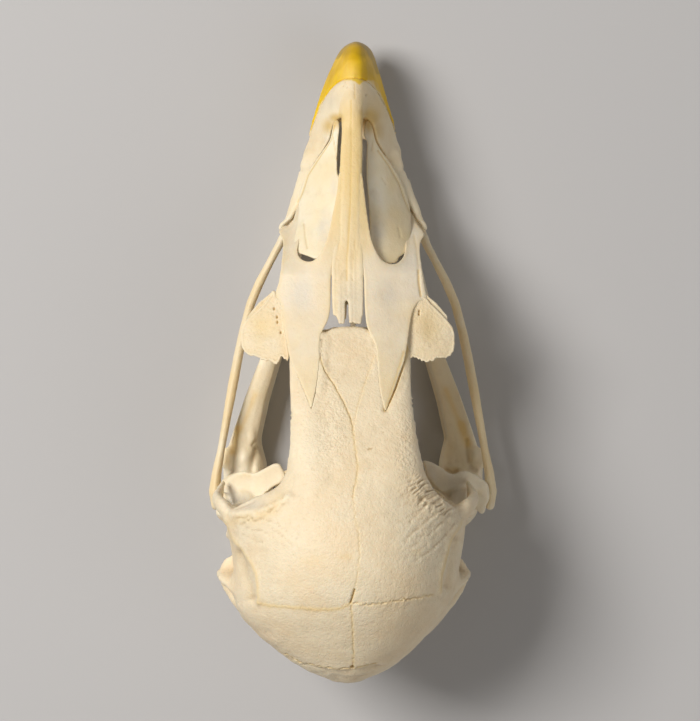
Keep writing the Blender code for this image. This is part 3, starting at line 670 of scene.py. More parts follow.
def concha_surface(x, y):
    """Height of the thin scroll in the nostril: it slopes down sideways and bulges along its middle."""
    places = [11.0, 12.0, 14.0, 16.0, 18.0, 20.0, 22.0, 24.0, 26.0, 29.0]
    edge = eased(y, places, [19.2, 18.5, 17.0, 15.1, 13.6, 12.7, 12.0, 11.3, 10.9, 10.8])
    slope = eased(y, places, [0.25, 0.3, 0.45, 0.7, 0.95, 1.05, 1.05, 1.05, 0.95, 0.7])
    out = np.abs(x - NASAL_MIDDLE)
    return edge + slope * (5.2 - out) - 0.1 * (out - 3.7) ** 2


CONCHA_FOLDS = {
    "left": [
        ([(303.5, 224), (304.6, 236), (307, 248)], 1.1, 0.11, 0.5),
        ([(332.8, 137), (337, 159)], 0.7, 0.08, 0.8),
    ],
    "right": [
        ([(398.6, 228), (400, 233), (400.6, 237)], 1.0, 0.08, 0.6),
        ([(382, 178), (386, 184)], 0.6, 0.06, 0.5),
        ([(374, 128), (373.6, 141), (372, 150)], 1.8, 0.1, 0.4),
    ],
}


def make_concha(side, outline):
    leaf = draped(f"concha_{side}_leaf", rounded(outline, OUTLINE_STEP), concha_surface, 0.5, 0.13)
    relax(leaf, 4)
    points, normals = points_of(leaf), normals_of(leaf)
    spots = pixels(points)
    top = soft_step(0.0, 0.4, normals[:, 2])
    points -= normals * (0.03 * rugged(points, 1.1, 3, 61 + SIDES[side]))[:, None]
    place_points(leaf, points)
    left = side == "left"
    if left:
        grey = np.maximum(spot(spots, (325, 228), (11, 30)), 0.7 * spot(spots, (334, 185), (6, 22)))
    else:
        grey = spot(spots, (378, 232), (12, 26))
    seam = seams(leaf, [*CONCHA_FOLDS[side], (CONCHA_SUTURE[side], 1.0, 0.1, 1.0)], top)
    keep_hollows(leaf, 6, 0.5)
    # Random warm tone, and on the right leaf painted tan shade on its outer half, which slopes away from the
    # key lamp.
    warm = 0.15 * (1 + grain(points, 2.0, 5)) + (0 if left else 0.3) * soft_step(380, 394, spots[:, 0])
    # Brown painted shade in the pocket at the nostril's front.
    front = spot(spots, (334.5, 121), (9, 12)) if left else spot(spots, (370, 122), (13, 17))
    keep_value(leaf, "seam", np.clip(np.maximum(0.8 * seam, warm) + 0.9 * front, 0, 1))
    keep_value(leaf, "stain_and_shade", np.maximum(0.75 * front, 0.15 * soft_step(0.7, 1.0, seam)))
    keep_value(leaf, "cool", grey * (0.8 + 0.6 * rugged(points, 0.8, 2, 67)))
    return settle(leaf, LEAF_BONE, "thin_bone", f"nasal_concha_{side}")


BRIDGE = [
    (342.5, 104), (342, 118), (341.4, 135), (340.5, 154), (339.7, 172), (339, 195), (338, 212),
    (335.5, 232), (333, 250), (331.9, 262), (331.8, 276), (340, 279), (347, 270), (355, 279), (363.4, 276),
    (363.4, 262), (362.8, 235), (362, 215), (361.7, 195), (361.9, 172), (362.6, 150), (362.5, 132),
    (362.2, 118), (361.5, 104),
]
SPLINTERS = [
    [(333.5, 250), (332, 262), (331.8, 292), (332.4, 306), (333, 315.5), (334.2, 315), (335.4, 316.5),
     (335.8, 300), (336, 262), (337, 250)],
    [(338, 250), (336.4, 262), (336.2, 300), (336.6, 318), (338, 320), (338.8, 324.2), (341, 323.2),
     (343.4, 324.3), (344.8, 322), (345.1, 305), (345.9, 292), (346.7, 280), (347, 262), (347.6, 250)],
    [(348, 250), (347.4, 262), (347.2, 284), (346.8, 295.5), (345.5, 297), (346.5, 300), (348.4, 303),
     (348.6, 314), (349.4, 323.4), (350.4, 322.2), (351.4, 323.8), (352.3, 321), (352.7, 300), (352.8, 262),
     (353, 250)],
    [(353.2, 250), (353, 262), (353, 300), (353.3, 322), (355, 324), (357.5, 323), (359.2, 324.4),
     (361.4, 323), (361.8, 317), (363, 315), (363.3, 292), (363.2, 262), (362, 250)],
]
BILL_ROOT = [
    (343, 128), (341.5, 116), (338, 106), (333, 98), (332, 90), (340, 84.5), (351, 82.5), (362, 84.5),
    (370, 90), (369, 98), (364.5, 106), (362, 116), (361, 128),
]


def root_surface(x, y):
    """Height of the bridge's flared root on the bill."""
    places = [24.0, 25.0, 27.0, 29.0, 31.0, 33.0]
    height = np.interp(y, places, [16.75, 16.45, 15.85, 15.45, 14.65, 13.6])
    return height - np.interp(y, places, [0.14, 0.17, 0.28, 0.47, 0.5, 0.5]) * x**2


def bridge_surface(x, y):
    """Height of the bridge, whose edges sink a little and meet the nasals beside them smoothly."""
    out = np.abs(x - np.interp(y, [10.0, 15.0, 20.0, 26.0], [-0.6, -0.45, -0.35, -0.25]))
    return roof_surface(x, y) - 0.14 * soft_step(0.8, 1.45, out) * soft_step(11.5, 15.0, y)


def splinter_surface(x, y):
    return roof_surface(x, y) - 0.05 * soft_step(6.0, 4.5, y)


HORN_EDGE = [
    (300, 150), (311.5, 128), (314, 122), (317, 113), (320, 104), (325, 97), (330, 90.5), (333.5, 86.5),
    (338, 83.5), (343, 80.5), (351, 79.8), (355, 81.5), (359.6, 85.4), (363, 82), (368, 80), (374, 80),
    (378, 83.5), (381, 93), (386, 106), (392, 121), (397, 130), (405, 150),
]


def past_horn_edge(spots):
    """How many pixels each spot lies towards the tip from the horn's boundary."""
    edge = wander(HORN_EDGE, 1.8, 0.35, 17)
    order = np.argsort(edge[:, 0])
    return np.interp(spots[:, 0], edge[order, 0], edge[order, 1]) - spots[:, 1]


BILL_EDGES = {
    -1: [(310.9, 126.1), (298.5, 169.9), (289.0, 204.0), (281.4, 230.7)],
    1: [(396.4, 126.0), (403.1, 163.2), (410.7, 183.2), (420.2, 207.9), (425.9, 228.8)],
}


def straighten_edges(points):
    """Brings the bill's lower side edges onto the smooth lines that show."""
    stops = np.arange(16.0, 27.0, 0.25)
    low = (points[:, 2] > 8.0) & (points[:, 2] < 12.0)
    for side, line in BILL_EDGES.items():
        marks = np.array([seen(px, py, 9.4) for px, py in line])[::-1]
        wanted = side * np.interp(stops, marks[:, 1], marks[:, 0])
        out = points[:, 0] * side
        found = [out[low & (np.abs(points[:, 1] - stop) < 0.2)].max(initial=0.0) for stop in stops]
        shift = eased(points[:, 1], stops, wanted - found, 0.3) * soft_step(3.4, 4.8, out)
        shift *= soft_step(16.0, 17.0, points[:, 1]) * soft_step(26.5, 25.0, points[:, 1])
        points[:, 0] += side * shift * soft_step(12.8, 11.8, points[:, 2])


def make_premaxilla():
    front = copy_of("premaxilla", "premaxilla_front")
    even_skin(front, 0.15)
    points = points_of(front)
    bars = (points[:, 2] > 13.5) & (np.abs(points[:, 0]) < 3.2)
    under = soft_step(28.5, 26.5, points[:, 1]) * bars
    points[:, 2] -= 0.5 * under
    points[:, 0] -= 0.3 * under * (points[:, 0] + 0.3)

    # The floor of the nostrils is open beside the middle.
    y, z = points[:, 1], points[:, 2]
    floor = (np.abs(points[:, 0]) < 2.3) & (z > 8.6) & (z < 11.0) & (y > 14)
    open_to = np.where(points[:, 0] < 0, 28.6, 26.4)
    points[:, 1] = np.where(floor, np.maximum(y, open_to), y)
    straighten_edges(points)
    place_points(front, points)
    melt(front, 14, soft_step(20.0, 25.0, points[:, 1]) * (points[:, 2] > 8.5))
    strips = [draped(f"splinter_{i}", line, splinter_surface, 0.5, 0.1) for i, line in enumerate(SPLINTERS)]
    bar = draped("bridge", rounded(BRIDGE, 1.5), bridge_surface, 0.62, 0.12)
    root = draped("bridge_root", rounded(BILL_ROOT, 1.5), root_surface, 0.7, 0.12)
    bone = joined("bill_bone", [front, bar, root, *strips])
    even_skin(bone, 0.13)
    relax(bone, 5)
    points = points_of(bone)
    melt(bone, 8, soft_step(19.0, 24.0, points[:, 1]) * (points[:, 2] > 8.5))
    melt(bone, 26, soft_step(25.0, 27.5, points[:, 1]) * (points[:, 2] > 8.5))
    points, normals = points_of(bone), normals_of(bone)
    spots = pixels(points)
    top = soft_step(0.0, 0.4, normals[:, 2]) * (points[:, 2] > 8.8)
    on_bridge = soft_step(13.5, 11.5, np.abs(spots[:, 0] - 350.5)) * (points[:, 2] > 14)
    ribs = np.stack([spots[:, 0] / 2.0, spots[:, 1] / 45], axis=1)
    fibres = grain(ribs, 1.0, 73) * soft_step(110, 230, spots[:, 1]) * on_bridge
    depth = lumpy(points, (0.02, 1.0, 71), (0.015, 0.35, 72))
    depth += 0.035 * fibres * top * soft_step(180, 260, spots[:, 1])
    depth += 0.22 * streak(spots, [(368, 112), (370, 104)], 5.0) * top
    for middle in ((345, 82), (343, 86), (347, 87), (366.5, 95)):
        depth += 0.16 * spot(spots, middle, (1.3, 1.3)) * top
    points -= normals * depth[:, None]
    place_points(bone, points)
    lines = [
        ([(351, 100), (351.2, 150), (350.4, 200), (348.4, 240), (346.8, 262), (346.8, 280)], 0.8, 0.04, 0.9),
        ([(355, 240), (353, 262), (353, 280)], 0.6, 0.045, 0.4),
        ([(339, 240), (336.2, 262), (336.2, 280)], 0.6, 0.045, 0.4),
        (CONCHA_SUTURE["left"], 1.0, 0.06, 1.0),
        (CONCHA_SUTURE["right"], 1.0, 0.06, 1.0),
        ([(354.5, 84), (355, 98)], 0.7, 0.05, 0.8),
    ]
    seam = seams(bone, lines, top)
    bridge = on_bridge * soft_step(84, 128, spots[:, 1]) * (1 - 0.9 * soft_step(175, 285, spots[:, 1]))
    # Brown painted shade in the pockets at the nostrils' fronts.
    pocket_shade_spots = (((336, 118.5), (11, 8), 1.0), ((329, 126), (10, 12), 0.8), ((370, 119), (15, 17), 1.0),
               ((376, 130), (13, 17), 0.6))
    painted_pocket_shade = np.max([strength * spot(spots, centre, radii) for centre, radii, strength in pocket_shade_spots], axis=0)
    golden = soft_step(-1.2, 1.2, past_horn_edge(spots)) * top
    keep_hollows(bone, 5, 0.5)
    tinted = 0.85 * bridge * (1 + 0.3 * fibres) + seam * 0.7 + 0.95 * painted_pocket_shade
    # Painted tan shade on the bill's right side, which faces away from the key lamp.
    keep_value(bone, "seam", np.clip(tinted + 0.4 * spot(spots, (378, 108), (18, 26)), 0, 1))
    keep_value(bone, "stain_and_shade", np.maximum(0.7 * painted_pocket_shade, 0.12 * soft_step(0.6, 1, seam)))
    grey = 0.35 * spot(spots, (330, 100), (14, 14))
    keep_value(bone, "cool", np.maximum(grey, 0.5 * soft_step(270, 300, spots[:, 1]) * on_bridge))
    keep_value(bone, "golden", golden)
    return settle(bone, IVORY, "bone", "premaxilla")


def horn_boundary(points):
    """How far in front of the horn's rear edge each point lies, along the bill."""
    return points[:, 1] - (33.9 - 6.2 * np.abs(points[:, 0] / 5.1) ** 2.6)


HORN_REAR = 27.2
HORN_TIP = [(337, 57), (342, 48), (349, 43), (355.5, 41), (362, 43.5), (368, 49), (374, 60), (378, 72)]


def make_horn(node, name):
    horn = copy_of(node, name)
    cut_off(horn, (0, HORN_REAR, 0), (0, -1, 0))
    even_skin(horn, 0.12)
    melt(horn, 18)
    points, normals = points_of(horn), normals_of(horn)
    rear = soft_step(1.3, 0.0, horn_boundary(points))
    points[:, 1] -= 0.34 * rear
    points += normals * (0.05 * (1 - 0.9 * rear) - 0.015 * rugged(points, 0.8, 3, 81))[:, None]
    place_points(horn, points)
    spots = pixels(points)
    upper = node == "beak_sheath"
    rim = soft_step(3.0, 1.4, away_from(spots, HORN_TIP)) * upper
    band = soft_step(61, 53, spots[:, 1] + 2.5 * grain(points, 1.0, 83)) * (spots[:, 1] > 40)
    patch = np.maximum(0.55 * spot(spots, (371, 70), (13, 22)), 0.25 * spot(spots, (330, 76), (8, 16)))
    amber = np.clip(0.85 * band + 0.95 * patch, 0, 1)
    keep_value(horn, "amber", amber * (0.85 + 0.3 * rugged(points, 1.5, 2, 82)))
    keep_value(horn, "pale", 0.9 * spot(spots, (350, 76), (15, 24)))
    keep_value(horn, "rim", 0.45 * rim)
    bare = soft_step(0.8, -1.6, past_horn_edge(spots)) * soft_step(0.2, 0.5, normals[:, 2])
    keep_value(horn, "bare", bare * upper)
    return settle(horn, HORN, "horn", node)


# ---------------------------------------------------------------- braincase and frontals

INTERFRONTAL = [(353, 430), (355, 446), (357.5, 465), (356, 481), (353, 497)]
INTERFRONTAL_REAR = [(353, 497), (355, 515), (359, 535), (360, 552), (357, 575), (354, 594), (351, 602)]
FRONTOPARIETAL_LEFT = [(259, 603), (270, 606), (285, 607), (300, 608), (322, 610), (340, 608.5), (351, 603)]
FRONTOPARIETAL_RIGHT = [(351, 603), (365, 605), (381, 604), (400, 600), (418, 598), (433, 595)]
INTERPARIETAL = [(351, 603), (352, 620), (353, 640), (354, 655), (352, 668)]
LAMBDOID = [
    (278, 651), (290, 657), (300, 663), (320, 666.5), (336, 669), (352, 669), (362, 667), (376, 664),
]
TEMPORAL_LEFT = [(226, 520), (231, 534), (242, 551), (252, 563), (257, 573), (258.8, 588), (259, 602)]
TEMPORAL_RIGHT = [(461, 522), (455, 533), (449.5, 543), (447, 553), (443.5, 563), (441, 576), (440, 592)]
CAP_RIM = [(224, 592), (240, 620), (262, 640), (300, 669), (352, 684), (392, 667), (430, 632), (460, 597)]
PLATE_LEFT = [
    (322, 330), (320, 345), (320, 358), (325, 371), (334, 385), (343, 401), (350, 416), (353, 430),
]
PLATE_RIGHT = [(373, 334), (375, 345), (374.5, 356), (370, 370), (363.5, 388), (357.5, 408), (353, 430)]
PLATE = PLATE_LEFT + PLATE_RIGHT[::-1] + [(377, 320), (319, 320)]
NASAL_SEAT_LEFT = [
    (318.3, 328), (317.8, 345), (318.9, 360), (317.6, 378), (315.2, 394), (311.3, 409.4), (306.9, 398.4),
    (302, 386.5), (296.7, 373.6), (291.8, 363.6), (288.8, 350), (285, 328),
]
NASAL_SEAT_RIGHT = [
    (377.5, 328), (378.4, 350), (378.2, 364), (379, 380), (381, 396), (385.6, 411.6), (390.9, 402),
    (396.9, 388), (401.9, 374), (406.3, 362), (409, 346), (411, 328),
]
FILLER_LEFT = [
    (324.5, 332), (325, 358), (324, 378), (320, 396), (312, 414), (303, 414), (292.4, 412), (290.4, 394),
    (289.8, 376), (289.8, 348), (292, 332),
]
FILLER_RIGHT = [
    (371, 332), (372, 358), (374, 380), (377, 398), (385, 416), (396, 410), (404, 400), (405.4, 376),
    (406.4, 352), (404, 332),
]
PLATE_FRONT = [
    (323.6, 345), (323.4, 338), (324.6, 334.6), (326, 333.4), (327.2, 331.6), (328.8, 331.2), (330, 329.3),
    (332, 329.2), (333.6, 328), (335.4, 328.4), (337, 326.9), (339.6, 327.3), (342, 326.3), (345, 327),
    (348, 326.2), (351, 326.9), (354.6, 326.1), (358, 327), (360.6, 326.8), (363, 328), (365, 327.9),
    (367, 329.4), (369, 330), (370.6, 331.8), (372.2, 332.6), (373.4, 335), (374, 345), (372, 360),
    (365, 372), (350, 380), (335, 372), (325, 358),
]
SCAR_RIGHT = [
    (408, 462), (420, 468), (433, 482), (448, 495), (463, 507), (464, 521), (448, 522), (431, 521),
    (414, 508), (404, 485),
]
SCAR_RIGHT_WIDE = [
    (396, 480), (410, 465), (448, 498), (466, 510), (463, 546), (440, 566), (402, 562), (392, 520),
]
SCAR_LEFT = [
    (224, 508), (238, 513), (252, 511), (268, 504), (282, 492), (291, 497), (282, 513), (262, 521),
    (248, 529), (234, 531),
]
GROOVES_RIGHT = [
    [(437, 513), (428, 520), (419, 528), (408, 536)],
    [(426, 506), (418, 514), (409, 523)],
    [(449, 517), (437, 527), (425, 538), (411, 547)],
    [(414, 478), (418, 491), (426, 503)],
    [(420, 499), (424.5, 501), (427, 505)],
    [(455, 523), (444, 537), (430, 551), (416, 560)],
]
GROOVES_LEFT = [
    [(255, 521.5), (263, 519), (272, 521.5), (284, 530), (297, 540)],
    [(247, 527), (254, 531), (262, 530), (269, 535)],
    [(243, 534), (252, 540), (262, 542)],
    [(272, 528), (282, 536), (292, 546)],
]


def filler_surface(x, y):
    """Height of the bone under and beside a nasal, nearly flush with its upper face."""
    aside = np.maximum(np.abs(x - NASAL_MIDDLE) - 5.2, 0)
    return nasal_surface(x, y) - FILLER_SINK - 0.12 * aside**2


def seat_filler(outline, name):
    return draped(name, rounded(outline, 1.5), filler_surface, 1.7, 0.2)


def plate_surface(x, y):
    """Height of the ethmoid plate between the nasals."""
    places, heights = [-4.0, -2.0, 0.0, 2.0, 3.0, 4.0, 5.0], [26.05, 25.22, 24.38, 23.44, 23.02, 22.6, 22.1]
    return np.interp(y, places, heights) - 0.004 * (x + 0.2) ** 2


def make_cranium():
    skull = copy_of("cranium", "skull_cap")
    points = points_of(skull)
    front = (points[:, 1] > 1.0) & (points[:, 2] > 19)
    arch = np.interp(points[:, 0], [-3.6, -3.34, -2.85, -2.28, -1.58, -0.4, 1.18, 1.88, 2.26, 2.5],
                     [1.6, 2.6, 3.0, 3.3, 3.45, 3.55, 3.3, 3.1, 2.8, 1.6])
    points[:, 1] = np.where(front, np.minimum(points[:, 1], arch), points[:, 1])
    points[:, 2] -= 0.12 * front
    place_points(skull, points)
    fillers = [seat_filler(FILLER_LEFT, "seat_left"), seat_filler(FILLER_RIGHT, "seat_right")]
    plate = draped("plate_front", PLATE_FRONT, plate_surface, 0.9, 0.16)
    joined("skull_cap", [skull, *fillers, plate])
    even_skin(skull, 0.28)
    points = points_of(skull)
    roof = soft_step(-12.0, -16.0, points[:, 1]) * soft_step(17.0, 20.5, points[:, 2])
    behind = soft_step(-27.0, -31.0, points[:, 1]) * soft_step(12.0, 15.0, points[:, 2])
    brow = soft_step(26.0, 27.5, points[:, 2]) * soft_step(-12.0, -7.0, points[:, 1])
    relax(skull, 6)
    melt(skull, 45, np.clip(np.maximum(roof, behind), 0, 1))
    melt(skull, 8, np.clip(1 - brow - roof, 0.15, 1) * soft_step(-13.0, -17.0, points[:, 1]))

    lines = {
        "interfrontal": wander(INTERFRONTAL, 2.5, 0.7, 1),
        "interfrontal_rear": wander(INTERFRONTAL_REAR, 2.2, 0.9, 15),
        "frontoparietal_left": wander(FRONTOPARIETAL_LEFT, 2.2, 0.6, 2),
        "frontoparietal_right": wander(FRONTOPARIETAL_RIGHT, 2.2, 0.9, 12),
        "interparietal": wander(INTERPARIETAL, 3.0, 0.5, 3),
        "lambdoid": wander(LAMBDOID, 3.0, 0.7, 4),
        "plate_left": wander(PLATE_LEFT[2:], 4.0, 0.3, 5),
        "plate_right": wander(PLATE_RIGHT[2:], 4.0, 0.3, 6),
        "seat_left": NASAL_SEAT_LEFT,
        "seat_right": NASAL_SEAT_RIGHT,
    }

    for width, scars in ((3.6, True), (1.8, False)):
        points, normals = points_of(skull), normals_of(skull)
        spots = pixels(points)
        away = np.min([away_from(spots, line) for line in lines.values()], axis=0)
        near = (away < width) | (scars & inside(spots, SCAR_RIGHT))
        finer(skull, near & (normals[:, 2] > 0.1) & (points[:, 2] > 14))

    points, normals = points_of(skull), normals_of(skull)
    spots = pixels(points)
    top = soft_step(0.05, 0.35, normals[:, 2]) * soft_step(12.0, 15.0, points[:, 2])
    depth, seam, stain_and_shade = np.zeros((3, len(points)))

    def along(path, wide):
        return streak(spots, path, wide) * top

    for name, wide, deep, tint, dark, broken in (
        ("interfrontal", 0.8, 0.06, 0.45, 0.05, 1.4),
        ("interfrontal_rear", 0.8, 0.03, 0.24, 0.0, 2.2),
        ("frontoparietal_left", 1.0, -0.02, 0.6, 0.0, 1.2),
        ("frontoparietal_right", 0.9, 0.07, 0.3, 0.12, 1.6),
        ("interparietal", 0.7, 0.06, 0.5, 0.1, 1.2),
        ("lambdoid", 0.8, 0.16, 0.35, 0.3, 1.2),
        ("plate_left", 0.9, 0.07, 0.5, 0.1, 1.2),
        ("plate_right", 0.8, 0.02, 0.22, 0.0, 1.0),
    ):
        share = along(lines[name], wide)
        depth += share * deep * np.clip(1 + broken * grain(points, 0.5, 31), 0, 1.6)
        seam = np.maximum(seam, along(lines[name], wide * 1.9) * tint)
        stain_and_shade = np.maximum(stain_and_shade, share * dark)

    # The middle suture gapes a little where it meets the parietals, and the gap is painted dark as shade.
    open_suture = along([(354.5, 590), (352, 599), (350.5, 603)], 1.0)
    depth += 0.28 * open_suture
    stain_and_shade = np.maximum(stain_and_shade, 0.9 * open_suture)
    crumbs = along(lines["frontoparietal_right"], 2.4) * np.clip(grain(points, 0.35, 33) * 1.6 - 0.3, 0, 1)
    depth -= 0.12 * crumbs

    # Small holes, carved shallow and painted dark inside as shade.
    holes = (((352, 668), (3.4, 2.8), 0.6), ((370, 449), (2.0, 1.8), 0.32), ((383, 433), (1, 1), 0.1))
    for centre, radii, deep in holes:
        hole = spot(spots, centre, radii) * top
        depth += deep * hole
        stain_and_shade = np.maximum(stain_and_shade, hole)
    smudge = spot(spots, (346, 557), (14, 6)) + 0.6 * spot(spots, (416, 552), (10, 5))
    smudge += 0.5 * spot(spots, (310, 560), (24, 12))
    seam = np.maximum(seam, 0.5 * smudge * (0.7 + 0.5 * rugged(points, 1.0, 2, 7)) * top)

    furrow = along([(408, 346), (404, 361), (399, 376), (394.6, 388.6), (389.4, 400.4), (385, 410)], 2.1)
    depth += 0.08 * furrow
    seam = np.maximum(seam, 0.95 * furrow)
    stain_and_shade = np.maximum(stain_and_shade, 0.3 * furrow * (1 + grain(points, 0.9, 19)))

    # The ethmoid plate lies a little deeper, and the nasals sit in shallow seats.
    depth += PLATE_SINK * inside(spots, PLATE) * top
    for seat in (NASAL_SEAT_LEFT, NASAL_SEAT_RIGHT):
        seated = inside(spots, seat) & (normals[:, 2] > 0.1) & (points[:, 2] > 20)
        level = nasal_surface(points[:, 0], points[:, 1]) - SEAT_SINK
        points[:, 2] = np.where(seated, np.minimum(points[:, 2], level), points[:, 2])

    # The frontals dip lengthwise beside the middle line and swell over the rear of the orbits.
    depth += 0.14 * along([(324, 412), (324, 430), (326, 455), (330, 476)], 9.0)
    depth -= 0.07 * along([(306, 420), (305, 440), (306, 470), (312, 492)], 8.0)
    depth -= 0.12 * spot(spots, (388, 470), (24, 45)) * top
    pitted = spot(spots, (332, 425), (24, 70)) + 0.7 * spot(spots, (405, 450), (16, 60)) + 0.25
    pitted = np.clip(pitted, 0, 1) * top
    depth += 0.055 * rugged(points, 0.55, 2, 42) * pitted

    # The left orbit's rear wall is a cup with a crumbly rim, painted grey as shade.
    shaded_cup = spot(spots, (246, 503), (34, 13)) * top
    depth += 0.35 * shaded_cup
    crumbly = along([(232, 514), (246, 513), (262, 511), (276, 505), (288, 497)], 3.2)
    depth -= 0.3 * crumbly * (0.7 + 0.8 * rugged(points, 0.6, 2, 48))

    # Edges of the temporal hollows, which sink between the edge and the wing; the hollows also get painted
    # brown shade.
    for path, hollow, seed in (
        (TEMPORAL_LEFT, [(238, 553), (243, 568), (248, 585), (250, 597)], 8),
        (TEMPORAL_RIGHT, [(458, 540), (455, 556), (452, 572), (449, 586)], 9),
    ):
        depth -= 0.2 * along(wander(path, 4.0, 0.5, seed), 3.0)
        depth += 0.42 * along(hollow, 5.5)
        seam = np.maximum(seam, 0.75 * along(wander(path, 4.0, 0.5, seed), 1.5))
        # Painted brown shade along the temporal hollow.
        stain_and_shade = np.maximum(stain_and_shade, 0.22 * along(hollow, 5.0) * (0.8 + 0.4 * grain(points, 0.8, 6)))
    seam = np.maximum(seam, 0.8 * spot(spots, (450.5, 541), (4, 5)) * top)
    seam = np.maximum(seam, 0.35 * along([(226, 525), (240, 519), (256, 517), (272, 510), (280, 500)], 6.0))

    # Rough scars of the muscles behind the orbits.
    for area, slant, spacing, strength, seed in (
        (SCAR_RIGHT, (0.6, 0.8), 2.7, 0.2, 21),
        (SCAR_RIGHT_WIDE, (0.56, 0.83), 2.0, 0.05, 22),
        (SCAR_LEFT, (0.3, 0.95), 2.4, 0.17, 23),
    ):
        share = inside(spots, area) * soft_step(0, 9, away_from(spots, [*area, area[0]])) * top
        across = (spots @ np.array(slant)) / spacing
        lengthwise = (spots @ np.array([-slant[1], slant[0]])) / (spacing * 3.8)
        strands = np.stack([across + 0.9 * grain(points, 1.3, seed), lengthwise], axis=1)
        folds = np.abs(grain(strands, 1.0, seed)) * 1.6 - 0.5 + 0.35 * rugged(points, 0.5, 2, seed)
        depth += strength * folds * share
    for grooves, wide, deep in ((GROOVES_RIGHT, 1.3, 0.06), (GROOVES_LEFT, 1.4, 0.06)):
        for i, groove in enumerate(grooves):
            path = wander(groove, 3.0, 0.5, 60 + i)
            depth += deep * along(path, wide)
            depth -= 0.6 * deep * along(np.array(path) + (1.6, 2.2), wide * 1.2)

    # Behind the lambdoid edge the bone drops, and its rim is lumpy.
    line = np.array(LAMBDOID)
    beyond = spots[:, 1] - np.interp(spots[:, 0], line[:, 0], line[:, 1])
    drop = soft_step(0.3, 2.5, beyond) * soft_step(262, 280, spots[:, 0]) * soft_step(392, 374, spots[:, 0])
    depth += drop * (0.22 + 0.16 * rugged(points, 1.2, 2, 45)) * top
    rim = soft_step(18, 5, away_from(spots, CAP_RIM))
    depth += 0.13 * rugged(points, 1.5, 2, 46) * rim
    depth += lumpy(points, (0.03, 1.3, 41), (0.012, 0.45, 43))

    points -= normals * depth[:, None]
    place_points(skull, points)
    keep_value(skull, "grit", pitted)
    keep_value(skull, "stain_and_shade", np.clip(stain_and_shade, 0, 1))
    keep_value(skull, "seam", np.clip(seam, 0, 1))
    # Painted grey shade in the left orbit's rear cup.
    keep_value(skull, "cool", 0.7 * shaded_cup)
    keep_hollows(skull, 5, 0.8)
    return settle(skull, CREAM, "bone", "cranium")


# ---------------------------------------------------------------- lacrimals

LACRIMAL_PITCH = 0.085  # fine enough for the fringe
STALK_TOP = 20.1
LACRIMAL_LEFT = [
    (273.8, 290.8), (269.5, 296.6), (264.4, 304.2), (259.3, 309.3), (254.9, 313.1), (247.2, 319.5),
    (242.7, 325.9), (241.3, 332.3), (241.4, 340.5), (242.1, 346.9), (245.3, 352), (248.4, 354.4),
    (251, 355.9), (253.4, 355.2), (255.5, 355.8), (258, 357.2), (260, 357.4), (261.4, 359.6), (264, 358.9),
    (266.3, 361.2), (268.6, 359.5), (271.8, 361.8), (272.6, 360.4), (274.2, 364), (275.4, 362.4),
    (276.8, 365.2), (277.9, 361), (278.9, 361.6), (279.8, 358.8), (281, 355.6), (283.2, 356.4),
    (284.2, 359), (286, 358.6), (287.4, 361.2), (288.6, 357), (288, 350), (286.4, 337.4), (284.5, 327.8),
    (283.3, 318.2), (282.4, 307.4), (279.6, 301), (276.6, 295),
]
LACRIMAL_RIGHT = [
    (423.4, 296.4), (427.2, 299.6), (430.6, 304.2), (435.7, 308.7), (441.4, 314.4), (447.2, 320.8),
    (452.3, 327.2), (454.3, 334.8), (454.3, 343.7), (453.2, 351.4), (451.2, 353.6), (450.4, 355.9),
    (448.3, 356.2), (446, 358.1), (443.6, 357.3), (441.4, 358), (437.8, 357.4), (434.4, 358.5),
    (433.6, 360.8), (431.9, 361.5), (430, 359.6), (428.4, 361.8), (426.1, 362.4), (423.8, 360.4),
    (421.7, 361.4), (420.6, 358.6), (418.5, 359.8), (416.8, 357.2), (414.7, 357.6), (413, 356),
    (410.8, 358.6), (409, 357.2), (408, 353.6), (406.4, 350), (407.4, 337.4), (409.6, 324.6),
    (411.8, 313.1), (414.6, 306), (419, 300),
]


def lacrimal_surface(x, y):
    inner = np.interp(y, [-1, 0.1, 1.2, 2.9, 4.7, 6.2, 8.0], [22.9, 22.6, 22.2, 21.6, 21.0, 20.6, 20.0])
    aside = np.abs(x + 0.65) - 8.0
    return inner - 0.12 * aside - 0.035 * aside**2


